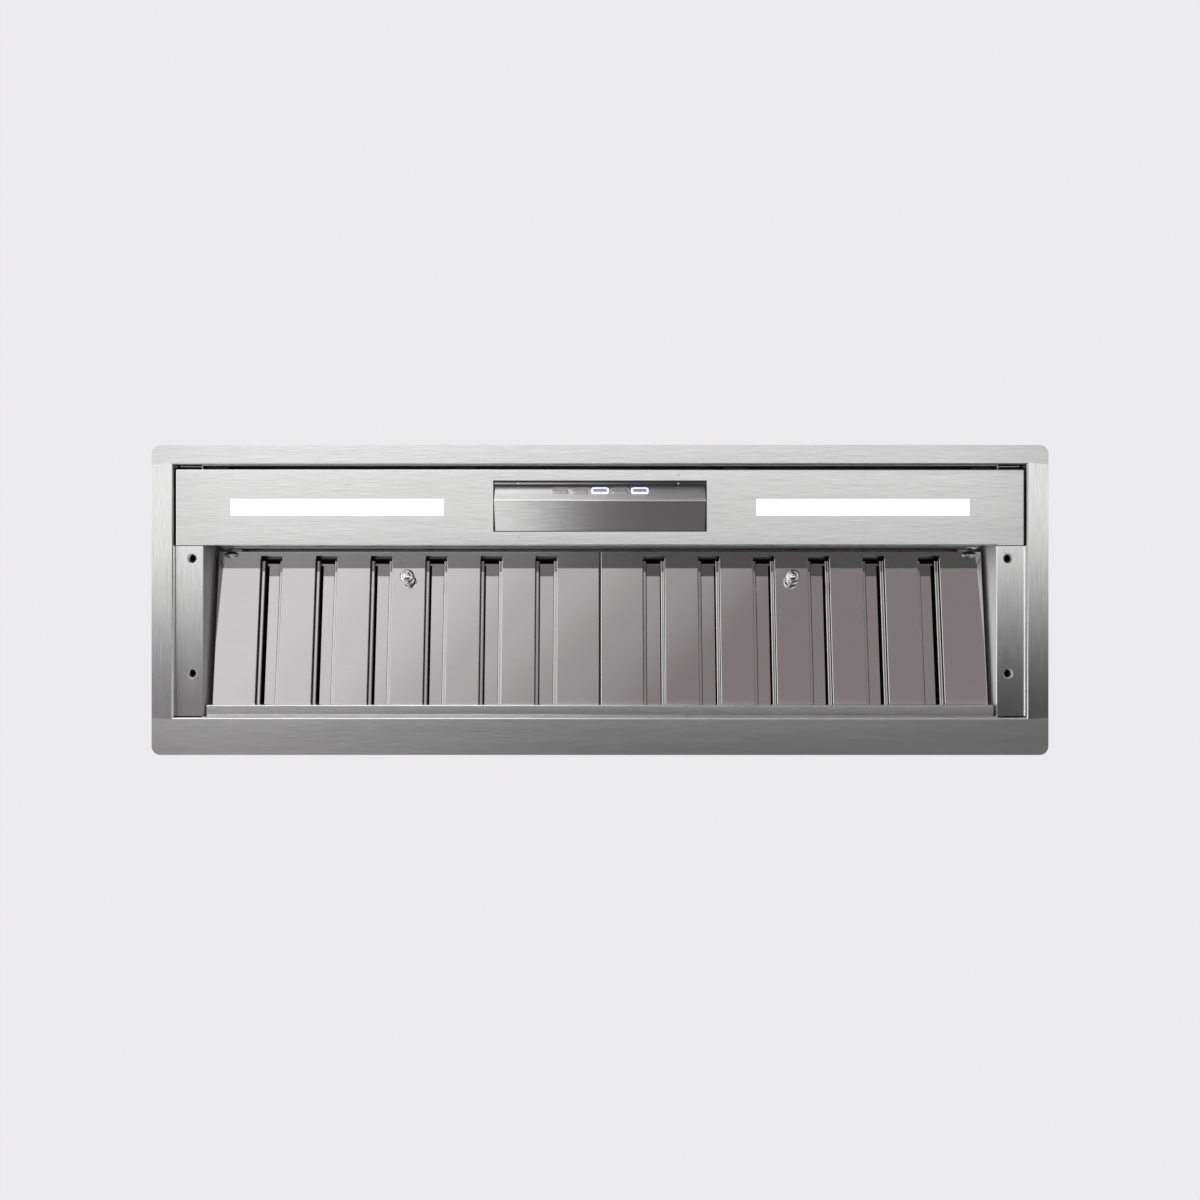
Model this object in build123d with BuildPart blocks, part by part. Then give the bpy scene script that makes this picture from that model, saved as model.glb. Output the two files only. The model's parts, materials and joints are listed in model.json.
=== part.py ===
from build123d import *
from math import cos, hypot, radians, sin
import os

os.makedirs("parts", exist_ok=True)

# Range hood insert, seen from below when it is in use. Millimetres.
# X runs along its length, -Y is the front (the cook's side) and +Z is up, into the cabinet.
# The origin is the middle of the four fixing holes, where their dimples meet the cabinet.

# ---------------------------------------------------------------- driving sizes

# flange
flange_width = 868.0
flange_depth = 300.0
flange_corner_r = 8.5
flange_sheet = 1.2
flange_upstand = 30.0
border_side = 21.0
border_front = 18.8
border_rear = 36.1

# fixing holes and side channels
fixing_inset_x = 17.0       # side of the opening to the holes
fixing_from_front = 12.25   # front end of a channel to its front hole
fixing_from_rear = 41.35    # rear end of a channel to its rear hole
fixing_hole_r = 2.6
dimple_r = 4.5
dimple_rise = 3.0
folded_sheet = 1.0
channel_recess = 5.0        # underside of the channels above the visible face
channel_lip_gap = 0.4
channel_wall = 62.0
channel_width = 28.3        # side of the opening to the air chamber
end_gap = 0.5

# lower box
shell_sheet = 0.8
shell_height = 105.0
air_opening_x = 320.0
air_opening_gap = 6.0
divider_start = 20.0

# light panel
panel_gap_front = 4.8
panel_gap_side = 2.5
panel_depth = 73.4
panel_sheet = 1.2
panel_lip = 4.8
panel_rear_lip = 48.0
bracket_width = 20.0
bracket_foot = 14.0
bracket_rise = 12.0
bracket_wall = 26.0
bracket_from_cutout = 27.9
bracket_from_end = 38.5
stud_r = 2.0
stud_height = 9.0
nut_r = 4.0
nut_height = 3.2

# LED strips
led_from_end = 52.4         # end of the panel to a strip's window
led_from_cutout = 48.6      # control unit's cut-out to a strip's window
led_setback = 36.6          # front edge of the panel to the middle of the strips
led_window_y = 16.4
led_clearance = 0.2
led_flange = 3.0
led_flange_height = 2.0
led_tray_wall = 0.8
led_tray_gap = 0.6
led_tray_height = 18.0
led_board_inset = 3.7
led_board_y = 12.0
board_thickness = 1.6
led_chip = 3.5
led_chip_height = 0.8
led_chip_count = 12

# control unit
cutout_x = 204.2
cutout_y = 48.4
cutout_setback = 11.7       # front edge of the panel to the cut-out
control_clearance = 0.2
control_end_margin = 0.9    # cut-out to the ends of the wedge
control_toe = 4.7           # cut-out to the foot of the steep face
control_ridge = 19.8        # cut-out to the ridge
control_heel = 0.6          # wedge's rear foot to the cut-out
control_depth = 25.0        # ridge below the visible face
control_wall = 2.0
control_ridge_r = 1.5
control_plug_height = 3.0
control_flange = 4.6
control_flange_height = 1.5

# buttons
button_count = 5
button_pitch = 19.2
button_width = 13.8
button_height = 9.0
button_corner_r = 1.6
button_from_foot = 9.35     # down the steep face, from its foot to the buttons' middle
button_proud = 0.8
button_travel = 1.5
button_clearance = 0.25
button_body = 4.0
button_stop = 1.2
button_stop_margin = 1.2
button_stop_gap = 0.6
stem_r = 2.0
stem_length = 3.0
ring_width = 1.0
switch_side = 6.0
switch_height = 3.6
switch_gap = 0.5            # stem to switch with the button pressed home
control_board_x = 180.0
control_board_height = 16.0
connector_x = 10.0
connector_y = 8.0
connector_height = 6.0
connector_top = 8.0         # above the visible face

# grease gutter
gutter_lift = 3.0
gutter_width = 9.7
gutter_gap_rear = 2.4
gutter_lip = 15.0
gutter_back = 9.0
gutter_joggle = 3.0
gutter_fold = 11.0
gutter_end_gap = 3.3

# catch rail and clips
rail_below_clip = 2.42
rail_reach = 2.9
rail_web = 16.0
clip_sheet = 0.8
clip_gap = 0.5
clip_width = 10.0
clip_back = 8.0
clip_depth = 8.0
clip_leg = 5.5

# baffle filters
filter_slope = 12.0         # degrees, rising to the front
filter_gap = 0.8            # between the two filters
filter_side_gap = 4.8       # to the wall of the air chamber
filter_front_gap = 4.06     # to the light panel's rear lip, level
filter_tail = 6.0           # pivot to the rear edge
filter_sheet = 0.8
filter_height = 20.0
filter_rim = 12.0
filter_setback = 0.5        # the front rim stands back, to swing past the panel
pivot_ahead = 0.4           # pivot ahead of the gutter's lip
pivot_above = 0.6           # pivot above the gutter's lip
slot_count = 6
slot_from_side = 53.0       # side of the filter to the middle of its first slot
slot_width = 21.2
slot_from_front = 5.1       # front edge of the filter to its slots
slot_rear = 3.0
slot_corner_r = 1.0
slot_leg = 10.0
slot_lip = 3.5
leg_gap = 1.0
frame_flange = 10.0
frame_leg = 10.0
baffle_overlap = 7.6        # past the slot's edge on each side
baffle_leg_gap = 6.0        # above the filter's face
baffle_end_gap = 0.6

# knob
knob_from_front = 28.8      # front edge of the filter to the knob's middle
knob_r = 7.0
knob_height = 16.0
knob_base_r = 6.0
knob_base_height = 1.6
knob_neck_r = 3.6
knob_neck_height = 4.4
knob_edge_r = 2.6
knob_stud_r = 2.0
knob_stud = 7.0
knob_nut_r = 4.6
knob_nut_height = 4.0
hole_clearance = 0.1

# catch stud
catch_from_side = 12.7      # side of the filter to the stud
catch_from_front = 3.9      # front edge of the filter to the stud
catch_length = 13.4
catch_width = 6.6
catch_head = 1.6
catch_shank_r = 1.6
catch_tip_r = 2.2
catch_tip_rise = 4.0        # above the filter's back

# upper box, duct collar and damper
box_x = 340.0
box_height = 187.0
box_flange = 10.0
box_rim_gap = 0.55          # the box's flange stands back from the lower box's edge
duct_r = 75.0
collar_sheet = 1.0
collar_height = 48.0
collar_flange = 13.0
damper_height = 16.0
axle_r = 2.0
axle_offset = 4.0           # each flap's axle from the middle of the collar
axle_clearance = 0.06
roll_r = 3.2                # each flap's edge is rolled round its axle
roll_end_gap = 2.5
flap_sheet = 0.8
flap_gap = 0.8
seat_width = 5.0
seat_bar = 12.0             # bar across the collar, under the axles
seat_gap = 0.3

# fan
fan_front_gap = 5.0         # casing to the front of the upper box
fan_floor_gap = 4.5         # casing to the lower box
fan_width = 120.0
casing_wall = 0.8
wheel_r = 60.0
wheel_end_gap = 4.0
volute_gap = 6.0            # wheel to casing, at the tongue
volute_growth = 24.0
volute_arcs = 8
tongue_angle = 65.0         # degrees, from +Y towards +Z
neck_height = 72.0          # above the fan's axis
inlet_inset = 8.0           # wheel's rim to the edge of the inlet
disc_thickness = 2.0
blade_count = 24
blade_depth = 9.0
blade_thickness = 1.0
blade_pitch = 35.0
rim_width = 8.0
rim_thickness = 2.0
shaft_r = 4.0
shaft_clearance = 0.06
shaft_start = -14.0
shaft_end = 40.0
hub_r = 10.0
hub_length = 8.0
motor_r = 40.0
motor_start = 6.0
motor_proud = 2.0           # past the fan casing's side
motor_bore_gap = 1.0        # past the end of the shaft
bracket_sheet = 2.0
spider_hub_r = 30.0
spider_past_inlet = 14.0
spider_arm_width = 12.0
spider_foot = 8.0
spider_arms = 3
spider_turn = 90.0

# fasteners
screw_r = 1.8
screw_head_r = 3.4
screw_head_height = 2.2
screw_length = 8.0

# electrics
control_box_gap = 10.0      # from the upper box's flange
control_box_x = 130.0
control_box_y = 90.0
control_box_shift = 18.0    # front wall of the control box ahead of the lights' cable
control_box_height = 45.0
control_box_wall = 2.0
gland_r = 8.0
gland_bore_r = 4.5
gland_length = 24.0
gland_hex_r = 11.0
gland_hex_length = 6.0
gland_inset_y = 20.0        # from the control box's rear wall
gland_shift_z = 24.0
terminal_size = (36.0, 18.0, 16.0)
capacitor_r = 12.0
capacitor_length = 40.0
light_cable_r = 2.5
light_lead_r = 1.5
light_cable_bend = 20.0
light_lead_bend = 7.0
light_cable_inset = 60.0    # from the side of the control box
cable_shift = 3.0           # ahead of the middle of the LED strips
light_cable_drop = 55.0
light_cable_start = 8.0
light_lead_above = 9.0      # above the connectors
supply_plug_x = 55.0
light_plug_x = 85.0
motor_cable_r = 3.0
motor_cable_bend = 15.0
motor_cable_height = 22.0
motor_cable_turn_x = 100.0
motor_cable_from_axis = 34.0
cable_clearance = 0.5

# ---------------------------------------------------------------- levels and places

web_top = -dimple_rise
web_under = web_top - folded_sheet
face_z = web_under - channel_recess
shell_top = face_z + shell_height

# The length of the side channels gives the pitch of the fixing holes, and so the origin.
panel_end = border_front + panel_gap_front + panel_depth
channel_ends = border_rear + shell_sheet + 2 * end_gap
channel_length = flange_depth - panel_end - channel_ends
fixing_pitch_y = channel_length - fixing_from_front - fixing_from_rear
front_edge = -fixing_pitch_y / 2 - fixing_from_front - end_gap - panel_end
flange_mid = front_edge + flange_depth / 2

open_x = flange_width / 2 - border_side
fixing_x = open_x - fixing_inset_x
open_front = front_edge + border_front
open_rear = front_edge + flange_depth - border_rear
open_mid = (open_front + open_rear) / 2
open_depth = open_rear - open_front

chamber_half = open_x - channel_width
shell_inner_x = chamber_half + folded_sheet
shell_outer_x = shell_inner_x + shell_sheet
shell_inner_front = open_front + shell_sheet
shell_inner_rear = open_rear - shell_sheet

panel_half = open_x - panel_gap_side
panel_front = open_front + panel_gap_front
panel_rear = panel_front + panel_depth
panel_top = face_z + panel_sheet
divider_rear = panel_rear - panel_sheet
divider_front = divider_rear - folded_sheet
channel_front = panel_rear + end_gap
led_y = panel_front + led_setback
led_window_x = panel_half - led_from_end - led_from_cutout - cutout_x / 2
led_x = panel_half - led_from_end - led_window_x / 2
led_board_x = led_window_x - 2 * led_board_inset

gutter_rear = open_rear - gutter_gap_rear
gutter_front = gutter_rear - gutter_width
gutter_under = face_z + gutter_lift
gutter_lip_top = gutter_under + gutter_lip
gutter_half = chamber_half - gutter_end_gap

pivot_y = gutter_front - pivot_ahead
pivot_z = gutter_lip_top + pivot_above
slope = radians(filter_slope)

filter_x = chamber_half - filter_side_gap - filter_gap / 2
filter_reach = (pivot_y - panel_rear - filter_front_gap) / cos(slope)
slot_pitch = (filter_x - 2 * slot_from_side) / (slot_count - 1)
slot_front = filter_reach - slot_from_front
knob_reach = filter_reach - knob_from_front
catch_x = filter_gap / 2 + filter_x - catch_from_side
catch_reach = filter_reach - catch_from_front
catch_tip_height = filter_height + catch_tip_rise

box_mid = open_mid
box_y = open_depth - 2 * (box_flange + box_rim_gap)
cable_y = led_y - cable_shift
lead_z = face_z + connector_top + light_lead_above
box_top = shell_top + box_height
control_box_start = box_x / 2 + box_flange + control_box_gap
light_cable_x = control_box_start + light_cable_inset

volute_start_r = wheel_r + volute_gap
front_r = volute_start_r + volute_growth * (180 - tongue_angle) / (360 - tongue_angle)
floor_r = volute_start_r + volute_growth * (270 - tongue_angle) / (360 - tongue_angle)
fan_y = box_mid - box_y / 2 + shell_sheet + fan_front_gap + casing_wall + front_r
fan_z = shell_top + fan_floor_gap + casing_wall + floor_r
casing_half = fan_width / 2
wheel_half = casing_half - wheel_end_gap
inlet_r = wheel_r - inlet_inset
motor_end = casing_half + motor_proud
motor_cable_z = shell_top + motor_cable_height
spider_arm_r = inlet_r + spider_past_inlet
foot_r = spider_arm_r - spider_foot / 2
neck_top = fan_z + neck_height
collar_base = box_top + collar_sheet
axle_z = collar_base + damper_height


# ---------------------------------------------------------------- helpers

def save(piece, name):
    """Label a finished piece and write it."""
    piece.part.label = name
    export_step(piece.part, f"parts/{name}.step")


def block(x, y, z, mode=Mode.ADD):
    """A box between the low and high ends given for X, Y and Z."""
    with Locations(((x[0] + x[1]) / 2, (y[0] + y[1]) / 2, (z[0] + z[1]) / 2)):
        Box(x[1] - x[0], y[1] - y[0], z[1] - z[0], mode=mode)


def folded(plane, points, thickness, side=Side.LEFT):
    """Section of a folded sheet on a plane, to one side of a line of points."""
    with BuildSketch(plane) as section:
        with BuildLine():
            Polyline(*points)
            offset(amount=thickness, side=side)
        make_face()
    return section.sketch


def mirrored_piece(source, name):
    """The left-hand copy of a right-hand piece."""
    with BuildPart() as copy:
        mirror(source.part, about=Plane.YZ)
    save(copy, name)


# ---------------------------------------------------------------- casing

with BuildPart() as flange_frame:
    with BuildSketch(Plane.XY.offset(face_z)):
        with Locations((0, flange_mid)):
            RectangleRounded(flange_width, flange_depth, flange_corner_r)
        with Locations((0, open_mid)):
            Rectangle(2 * open_x, open_depth, mode=Mode.SUBTRACT)
    extrude(amount=flange_sheet)
    with BuildSketch(Plane.XY.offset(face_z)):
        with Locations((0, open_mid)):
            Rectangle(2 * (open_x + flange_sheet), open_depth + 2 * flange_sheet)
            Rectangle(2 * open_x, open_depth, mode=Mode.SUBTRACT)
    extrude(amount=flange_upstand)
save(flange_frame, "flange_frame")

# The channel's web carries two dimples; its outer lip meets the flange's upstand.
with BuildPart() as side_channel_right:
    channel_section = folded(
        Plane.XZ.offset(-channel_front),
        [
            (open_x, face_z + channel_lip_gap),
            (open_x, web_top),
            (shell_inner_x, web_top),
            (shell_inner_x, face_z + channel_wall),
        ],
        folded_sheet,
    )
    extrude(channel_section, amount=channel_front - (shell_inner_rear - end_gap))
    for hole_y in (-fixing_pitch_y / 2, fixing_pitch_y / 2):
        with Locations((fixing_x, hole_y, web_under)):
            Cone(
                dimple_r + folded_sheet,
                fixing_hole_r + folded_sheet,
                dimple_rise + folded_sheet,
                align=(Align.CENTER, Align.CENTER, Align.MIN),
            )
        with Locations((fixing_x, hole_y, web_under)):
            Cone(
                dimple_r,
                fixing_hole_r,
                dimple_rise,
                align=(Align.CENTER, Align.CENTER, Align.MIN),
                mode=Mode.SUBTRACT,
            )
            Cylinder(
                fixing_hole_r,
                dimple_rise + folded_sheet,
                align=(Align.CENTER, Align.CENTER, Align.MIN),
                mode=Mode.SUBTRACT,
            )
save(side_channel_right, "side_channel_right")
mirrored_piece(side_channel_right, "side_channel_left")

with BuildPart() as housing_shell:
    block((-shell_outer_x, shell_outer_x), (open_front, open_rear), (web_top, shell_top))
    block(
        (-shell_inner_x, shell_inner_x),
        (shell_inner_front, shell_inner_rear),
        (web_top, shell_top - shell_sheet),
        mode=Mode.SUBTRACT,
    )
    block(
        (-air_opening_x / 2, air_opening_x / 2),
        (divider_rear + air_opening_gap, box_mid + box_y / 2 - air_opening_gap),
        (shell_top - shell_sheet, shell_top),
        mode=Mode.SUBTRACT,
    )
    with BuildSketch(Plane.XY.offset(shell_top)):
        with Locations((light_cable_x, cable_y)):
            Circle(light_cable_r + cable_clearance)
    extrude(amount=-shell_sheet, mode=Mode.SUBTRACT)
save(housing_shell, "housing_shell")

with BuildPart() as divider_wall:
    block(
        (-shell_inner_x, shell_inner_x),
        (divider_front, divider_rear),
        (face_z + divider_start, shell_top - shell_sheet),
    )
save(divider_wall, "divider_wall")

with BuildPart() as grease_gutter:
    step_z = gutter_under + gutter_back
    gutter_section = folded(
        Plane.YZ.offset(-gutter_half),
        [
            (gutter_front, gutter_lip_top),
            (gutter_front, gutter_under),
            (gutter_rear, gutter_under),
            (gutter_rear, step_z),
            (shell_inner_rear, step_z + gutter_joggle),
            (shell_inner_rear, step_z + gutter_joggle + gutter_fold),
        ],
        folded_sheet,
    )
    extrude(gutter_section, amount=2 * gutter_half)
    for end in (-gutter_half, gutter_half - folded_sheet):
        block(
            (end, end + folded_sheet),
            (gutter_front, gutter_rear),
            (gutter_under, gutter_under + gutter_back),
        )
save(grease_gutter, "grease_gutter")

# The catch stud's tip, from which its clip and the rail are placed.
tip_y = pivot_y - catch_reach * cos(slope) + catch_tip_height * sin(slope)
tip_z = pivot_z + catch_reach * sin(slope) + catch_tip_height * cos(slope)
clip_z = tip_z + catch_tip_r + 2 * clip_gap
rail_z = clip_z - rail_below_clip

with BuildPart() as catch_rail:
    rail_section = folded(
        Plane.YZ.offset(-chamber_half + end_gap),
        [
            (divider_rear, rail_z + rail_web),
            (divider_rear, rail_z),
            (divider_rear + rail_reach, rail_z),
        ],
        folded_sheet,
    )
    extrude(rail_section, amount=2 * (chamber_half - end_gap))
save(catch_rail, "catch_rail")

with BuildPart() as catch_clips:
    for side in (-1, 1):
        middle = side * catch_x
        back_y = divider_rear + folded_sheet
        leg_in = catch_tip_r + clip_gap
        block(
            (middle - clip_width / 2, middle + clip_width / 2),
            (back_y, back_y + clip_sheet),
            (clip_z, clip_z + clip_back),
        )
        block(
            (middle - clip_width / 2, middle + clip_width / 2),
            (back_y, tip_y + clip_depth / 2),
            (clip_z, clip_z + clip_sheet),
        )
        for low in (middle - leg_in - clip_sheet, middle + leg_in):
            block(
                (low, low + clip_sheet),
                (tip_y - clip_depth / 2, tip_y + clip_depth / 2),
                (clip_z - clip_leg, clip_z),
            )
save(catch_clips, "catch_clips")

# ---------------------------------------------------------------- light panel

cutout_front = panel_front + cutout_setback
cutout_mid = cutout_front + cutout_y / 2
bracket_rear = panel_front + panel_sheet + bracket_foot + folded_sheet
stud_y = bracket_rear - bracket_foot / 2
bracket_x = (cutout_x / 2 + bracket_from_cutout, panel_half - bracket_from_end)
stud_x = [side * x for x in bracket_x for side in (-1, 1)]

with BuildPart() as light_panel:
    with BuildSketch(Plane.XY.offset(face_z)):
        with Locations((0, panel_front + panel_depth / 2)):
            Rectangle(2 * panel_half, panel_depth)
        with Locations((-led_x, led_y), (led_x, led_y)):
            Rectangle(led_window_x, led_window_y, mode=Mode.SUBTRACT)
        with Locations((0, cutout_mid)):
            Rectangle(cutout_x, cutout_y, mode=Mode.SUBTRACT)
    extrude(amount=panel_sheet)
    block(
        (-panel_half, panel_half),
        (panel_front, panel_front + panel_sheet),
        (face_z, face_z + panel_lip),
    )
    for low in (-panel_half, panel_half - panel_sheet):
        block((low, low + panel_sheet), (panel_front, panel_rear), (face_z, face_z + panel_lip))
    block(
        (-chamber_half + end_gap, chamber_half - end_gap),
        (panel_rear - panel_sheet, panel_rear),
        (face_z, face_z + panel_rear_lip),
    )
    with Locations(*[(x, stud_y, panel_top) for x in stud_x]):
        Cylinder(stud_r, stud_height, align=(Align.CENTER, Align.CENTER, Align.MIN))
save(light_panel, "light_panel")

with BuildPart() as panel_brackets:
    for x in stud_x:
        bracket_section = folded(
            Plane.YZ.offset(x - bracket_width / 2),
            [
                (bracket_rear, panel_top),
                (bracket_rear - bracket_foot, panel_top),
                (bracket_rear - bracket_foot, panel_top + bracket_rise),
                (shell_inner_front, panel_top + bracket_rise),
                (shell_inner_front, panel_top + bracket_rise + bracket_wall),
            ],
            folded_sheet,
            side=Side.RIGHT,
        )
        extrude(bracket_section, amount=bracket_width)
    with Locations(*[(x, stud_y, panel_top) for x in stud_x]):
        Cylinder(
            stud_r,
            folded_sheet,
            align=(Align.CENTER, Align.CENTER, Align.MIN),
            mode=Mode.SUBTRACT,
        )
save(panel_brackets, "panel_brackets")

with BuildPart() as panel_nuts:
    with BuildSketch(Plane.XY.offset(panel_top + folded_sheet)):
        with Locations(*[(x, stud_y) for x in stud_x]):
            RegularPolygon(nut_r, 6)
            Circle(stud_r, mode=Mode.SUBTRACT)
    extrude(amount=nut_height)
save(panel_nuts, "panel_nuts")

flange_x = led_window_x + 2 * led_flange
flange_y = led_window_y + 2 * led_flange
tray_x = flange_x + 2 * (led_tray_gap + led_tray_wall)
tray_y = flange_y + 2 * (led_tray_gap + led_tray_wall)
tray_ceiling = panel_top + led_tray_height - led_tray_wall

with BuildPart() as led_diffuser_right:
    with BuildSketch(Plane.XY.offset(face_z)):
        with Locations((led_x, led_y)):
            Rectangle(led_window_x - 2 * led_clearance, led_window_y - 2 * led_clearance)
    extrude(amount=panel_sheet)
    with BuildSketch(Plane.XY.offset(panel_top)):
        with Locations((led_x, led_y)):
            Rectangle(flange_x, flange_y)
    extrude(amount=led_flange_height)
save(led_diffuser_right, "led_diffuser_right")
mirrored_piece(led_diffuser_right, "led_diffuser_left")

with BuildPart() as led_tray_right:
    with BuildSketch(Plane.XY.offset(panel_top)):
        with Locations((led_x, led_y)):
            Rectangle(tray_x, tray_y)
    extrude(amount=led_tray_height)
    with BuildSketch(Plane.XY.offset(panel_top)):
        with Locations((led_x, led_y)):
            Rectangle(tray_x - 2 * led_tray_wall, tray_y - 2 * led_tray_wall)
    extrude(amount=led_tray_height - led_tray_wall, mode=Mode.SUBTRACT)
save(led_tray_right, "led_tray_right")
mirrored_piece(led_tray_right, "led_tray_left")

with BuildPart() as led_board_right:
    with BuildSketch(Plane.XY.offset(tray_ceiling)):
        with Locations((led_x, led_y)):
            Rectangle(led_board_x, led_board_y)
    extrude(amount=-board_thickness)
    with BuildSketch(Plane.XY.offset(tray_ceiling - board_thickness)):
        with Locations((led_x, led_y)):
            with GridLocations(led_board_x / led_chip_count, 0, led_chip_count, 1):
                Rectangle(led_chip, led_chip)
    extrude(amount=-led_chip_height)
save(led_board_right, "led_board_right")
mirrored_piece(led_board_right, "led_board_left")

# ---------------------------------------------------------------- control unit

# The wedge's section: foot of the steep face, ridge, and foot of the rear slope.
toe_y = cutout_front + control_toe
ridge_y = cutout_front + control_ridge
heel_y = cutout_front + cutout_y - control_heel
ridge_z = face_z - control_depth
steep_length = hypot(ridge_y - toe_y, control_depth)
down_y = (ridge_y - toe_y) / steep_length
down_z = -control_depth / steep_length
wedge_half = cutout_x / 2 - control_end_margin
plug_x = cutout_x - 2 * control_clearance
plug_y = cutout_y - 2 * control_clearance

# Plane on the steep face, at the middle of the row of buttons, facing the cook.
button_plane = Plane(
    origin=(0, toe_y + button_from_foot * down_y, face_z + button_from_foot * down_z),
    x_dir=(1, 0, 0),
    z_dir=(0, down_z, -down_y),
)
button_x = [(i - (button_count - 1) / 2) * button_pitch for i in range(button_count)]
ring_x = button_width + 2 * (button_clearance + ring_width)
ring_y = button_height + 2 * (button_clearance + ring_width)
stop_depth = control_wall + button_stop_gap
stem_end = button_body + stem_length
switch_top = stem_end + button_travel + switch_gap
board_depth = switch_top + switch_height

# The hollow is the same wedge, its two sides carried up through the plug.
hollow_z = face_z + control_plug_height + control_wall
rise = (hollow_z - ridge_z) / control_depth
with BuildPart() as control_housing:
    with BuildSketch(Plane.YZ.offset(-wedge_half)):
        with BuildLine():
            Polyline((toe_y, face_z), (ridge_y, ridge_z), (heel_y, face_z), close=True)
        make_face()
    extrude(amount=2 * wedge_half)
    ridge_edge = control_housing.edges().filter_by(Axis.X).sort_by(Axis.Z)[0]
    fillet(ridge_edge, radius=control_ridge_r)
    with BuildSketch(Plane.XY.offset(face_z)):
        with Locations((0, cutout_mid)):
            Rectangle(plug_x, plug_y)
    extrude(amount=control_plug_height)
    with BuildSketch(Plane.XY.offset(panel_top)):
        with Locations((0, cutout_mid)):
            Rectangle(cutout_x + 2 * control_flange, cutout_y + 2 * control_flange)
    extrude(amount=control_flange_height)
    with BuildSketch(Plane.YZ.offset(-wedge_half + control_wall)):
        with BuildLine():
            Polyline(
                (ridge_y + rise * (toe_y - ridge_y), hollow_z),
                (ridge_y, ridge_z),
                (ridge_y + rise * (heel_y - ridge_y), hollow_z),
                close=True,
            )
        make_face()
        offset(amount=-control_wall, kind=Kind.INTERSECTION)
    extrude(amount=2 * (wedge_half - control_wall), mode=Mode.SUBTRACT)
    with BuildSketch(button_plane):
        with Locations(*[(x, 0) for x in button_x]):
            RectangleRounded(ring_x, ring_y, button_corner_r + button_clearance + ring_width)
    extrude(amount=-control_wall, mode=Mode.SUBTRACT)
save(control_housing, "control_housing")

with BuildPart() as button_rings:
    with BuildSketch(button_plane):
        with Locations(*[(x, 0) for x in button_x]):
            RectangleRounded(ring_x, ring_y, button_corner_r + button_clearance + ring_width)
            RectangleRounded(
                button_width + 2 * button_clearance,
                button_height + 2 * button_clearance,
                button_corner_r + button_clearance,
                mode=Mode.SUBTRACT,
            )
    extrude(amount=-control_wall)
save(button_rings, "button_rings")

for number, x in enumerate(button_x, start=1):
    with BuildPart() as button:
        with BuildSketch(button_plane.offset(button_proud)):
            with Locations((x, 0)):
                RectangleRounded(button_width, button_height, button_corner_r)
        extrude(amount=-(button_proud + button_body))
        with BuildSketch(button_plane.offset(-stop_depth)):
            with Locations((x, 0)):
                Rectangle(
                    button_width + 2 * button_stop_margin,
                    button_height + 2 * button_stop_margin,
                )
        extrude(amount=-button_stop)
        with BuildSketch(button_plane.offset(-button_body)):
            with Locations((x, 0)):
                Circle(stem_r)
        extrude(amount=-stem_length)
    save(button, f"button_{number}")

connector_z = face_z + connector_top
with BuildPart() as control_board:
    with BuildSketch(button_plane.offset(-board_depth)):
        Rectangle(control_board_x, control_board_height)
    extrude(amount=-board_thickness)
    with BuildSketch(button_plane.offset(-board_depth)):
        with Locations(*[(x, 0) for x in button_x]):
            Rectangle(switch_side, switch_side)
    extrude(amount=switch_height)
    for x in (supply_plug_x, light_plug_x, -light_plug_x):
        block(
            (x - connector_x / 2, x + connector_x / 2),
            (cable_y - connector_y / 2, cable_y + connector_y / 2),
            (connector_z - connector_height, connector_z),
        )
save(control_board, "control_board")

# ---------------------------------------------------------------- baffle filters

filter_mid_x = (filter_gap + filter_x) / 2
filter_mid_y = (filter_tail - filter_reach) / 2
filter_length = filter_reach + filter_tail
slot_mid = -(slot_front - slot_rear) / 2
slot_length = slot_front + slot_rear
slot_x = [(i - (slot_count - 1) / 2) * slot_pitch for i in range(slot_count)]
knob_x = slot_x[slot_count // 2] - slot_pitch / 2
rim_front = -(filter_reach - filter_setback)
frame_front = rim_front + filter_sheet
frame_rear = filter_tail - filter_sheet
frame_half = filter_x / 2 - filter_sheet
frame_mid = (frame_front + frame_rear) / 2
frame_length = frame_rear - frame_front
baffle_top = filter_height - filter_sheet


def filter_plane(side):
    """Plane of a filter's face: X along the insert, Y to the rear, Z up through the filter."""
    return Plane(
        origin=(side * filter_mid_x, pivot_y, pivot_z),
        x_dir=(1, 0, 0),
        z_dir=(0, sin(slope), cos(slope)),
    )


def sheet(plane, w, x, y, thickness, mode=Mode.ADD):
    """A plate on the filter's plane, lifted by w, between the ends given for x and y."""
    with BuildSketch(plane.offset(w)) as outline:
        with Locations(((x[0] + x[1]) / 2, (y[0] + y[1]) / 2)):
            Rectangle(x[1] - x[0], y[1] - y[0])
    extrude(outline.sketch, amount=thickness, mode=mode)


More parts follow.
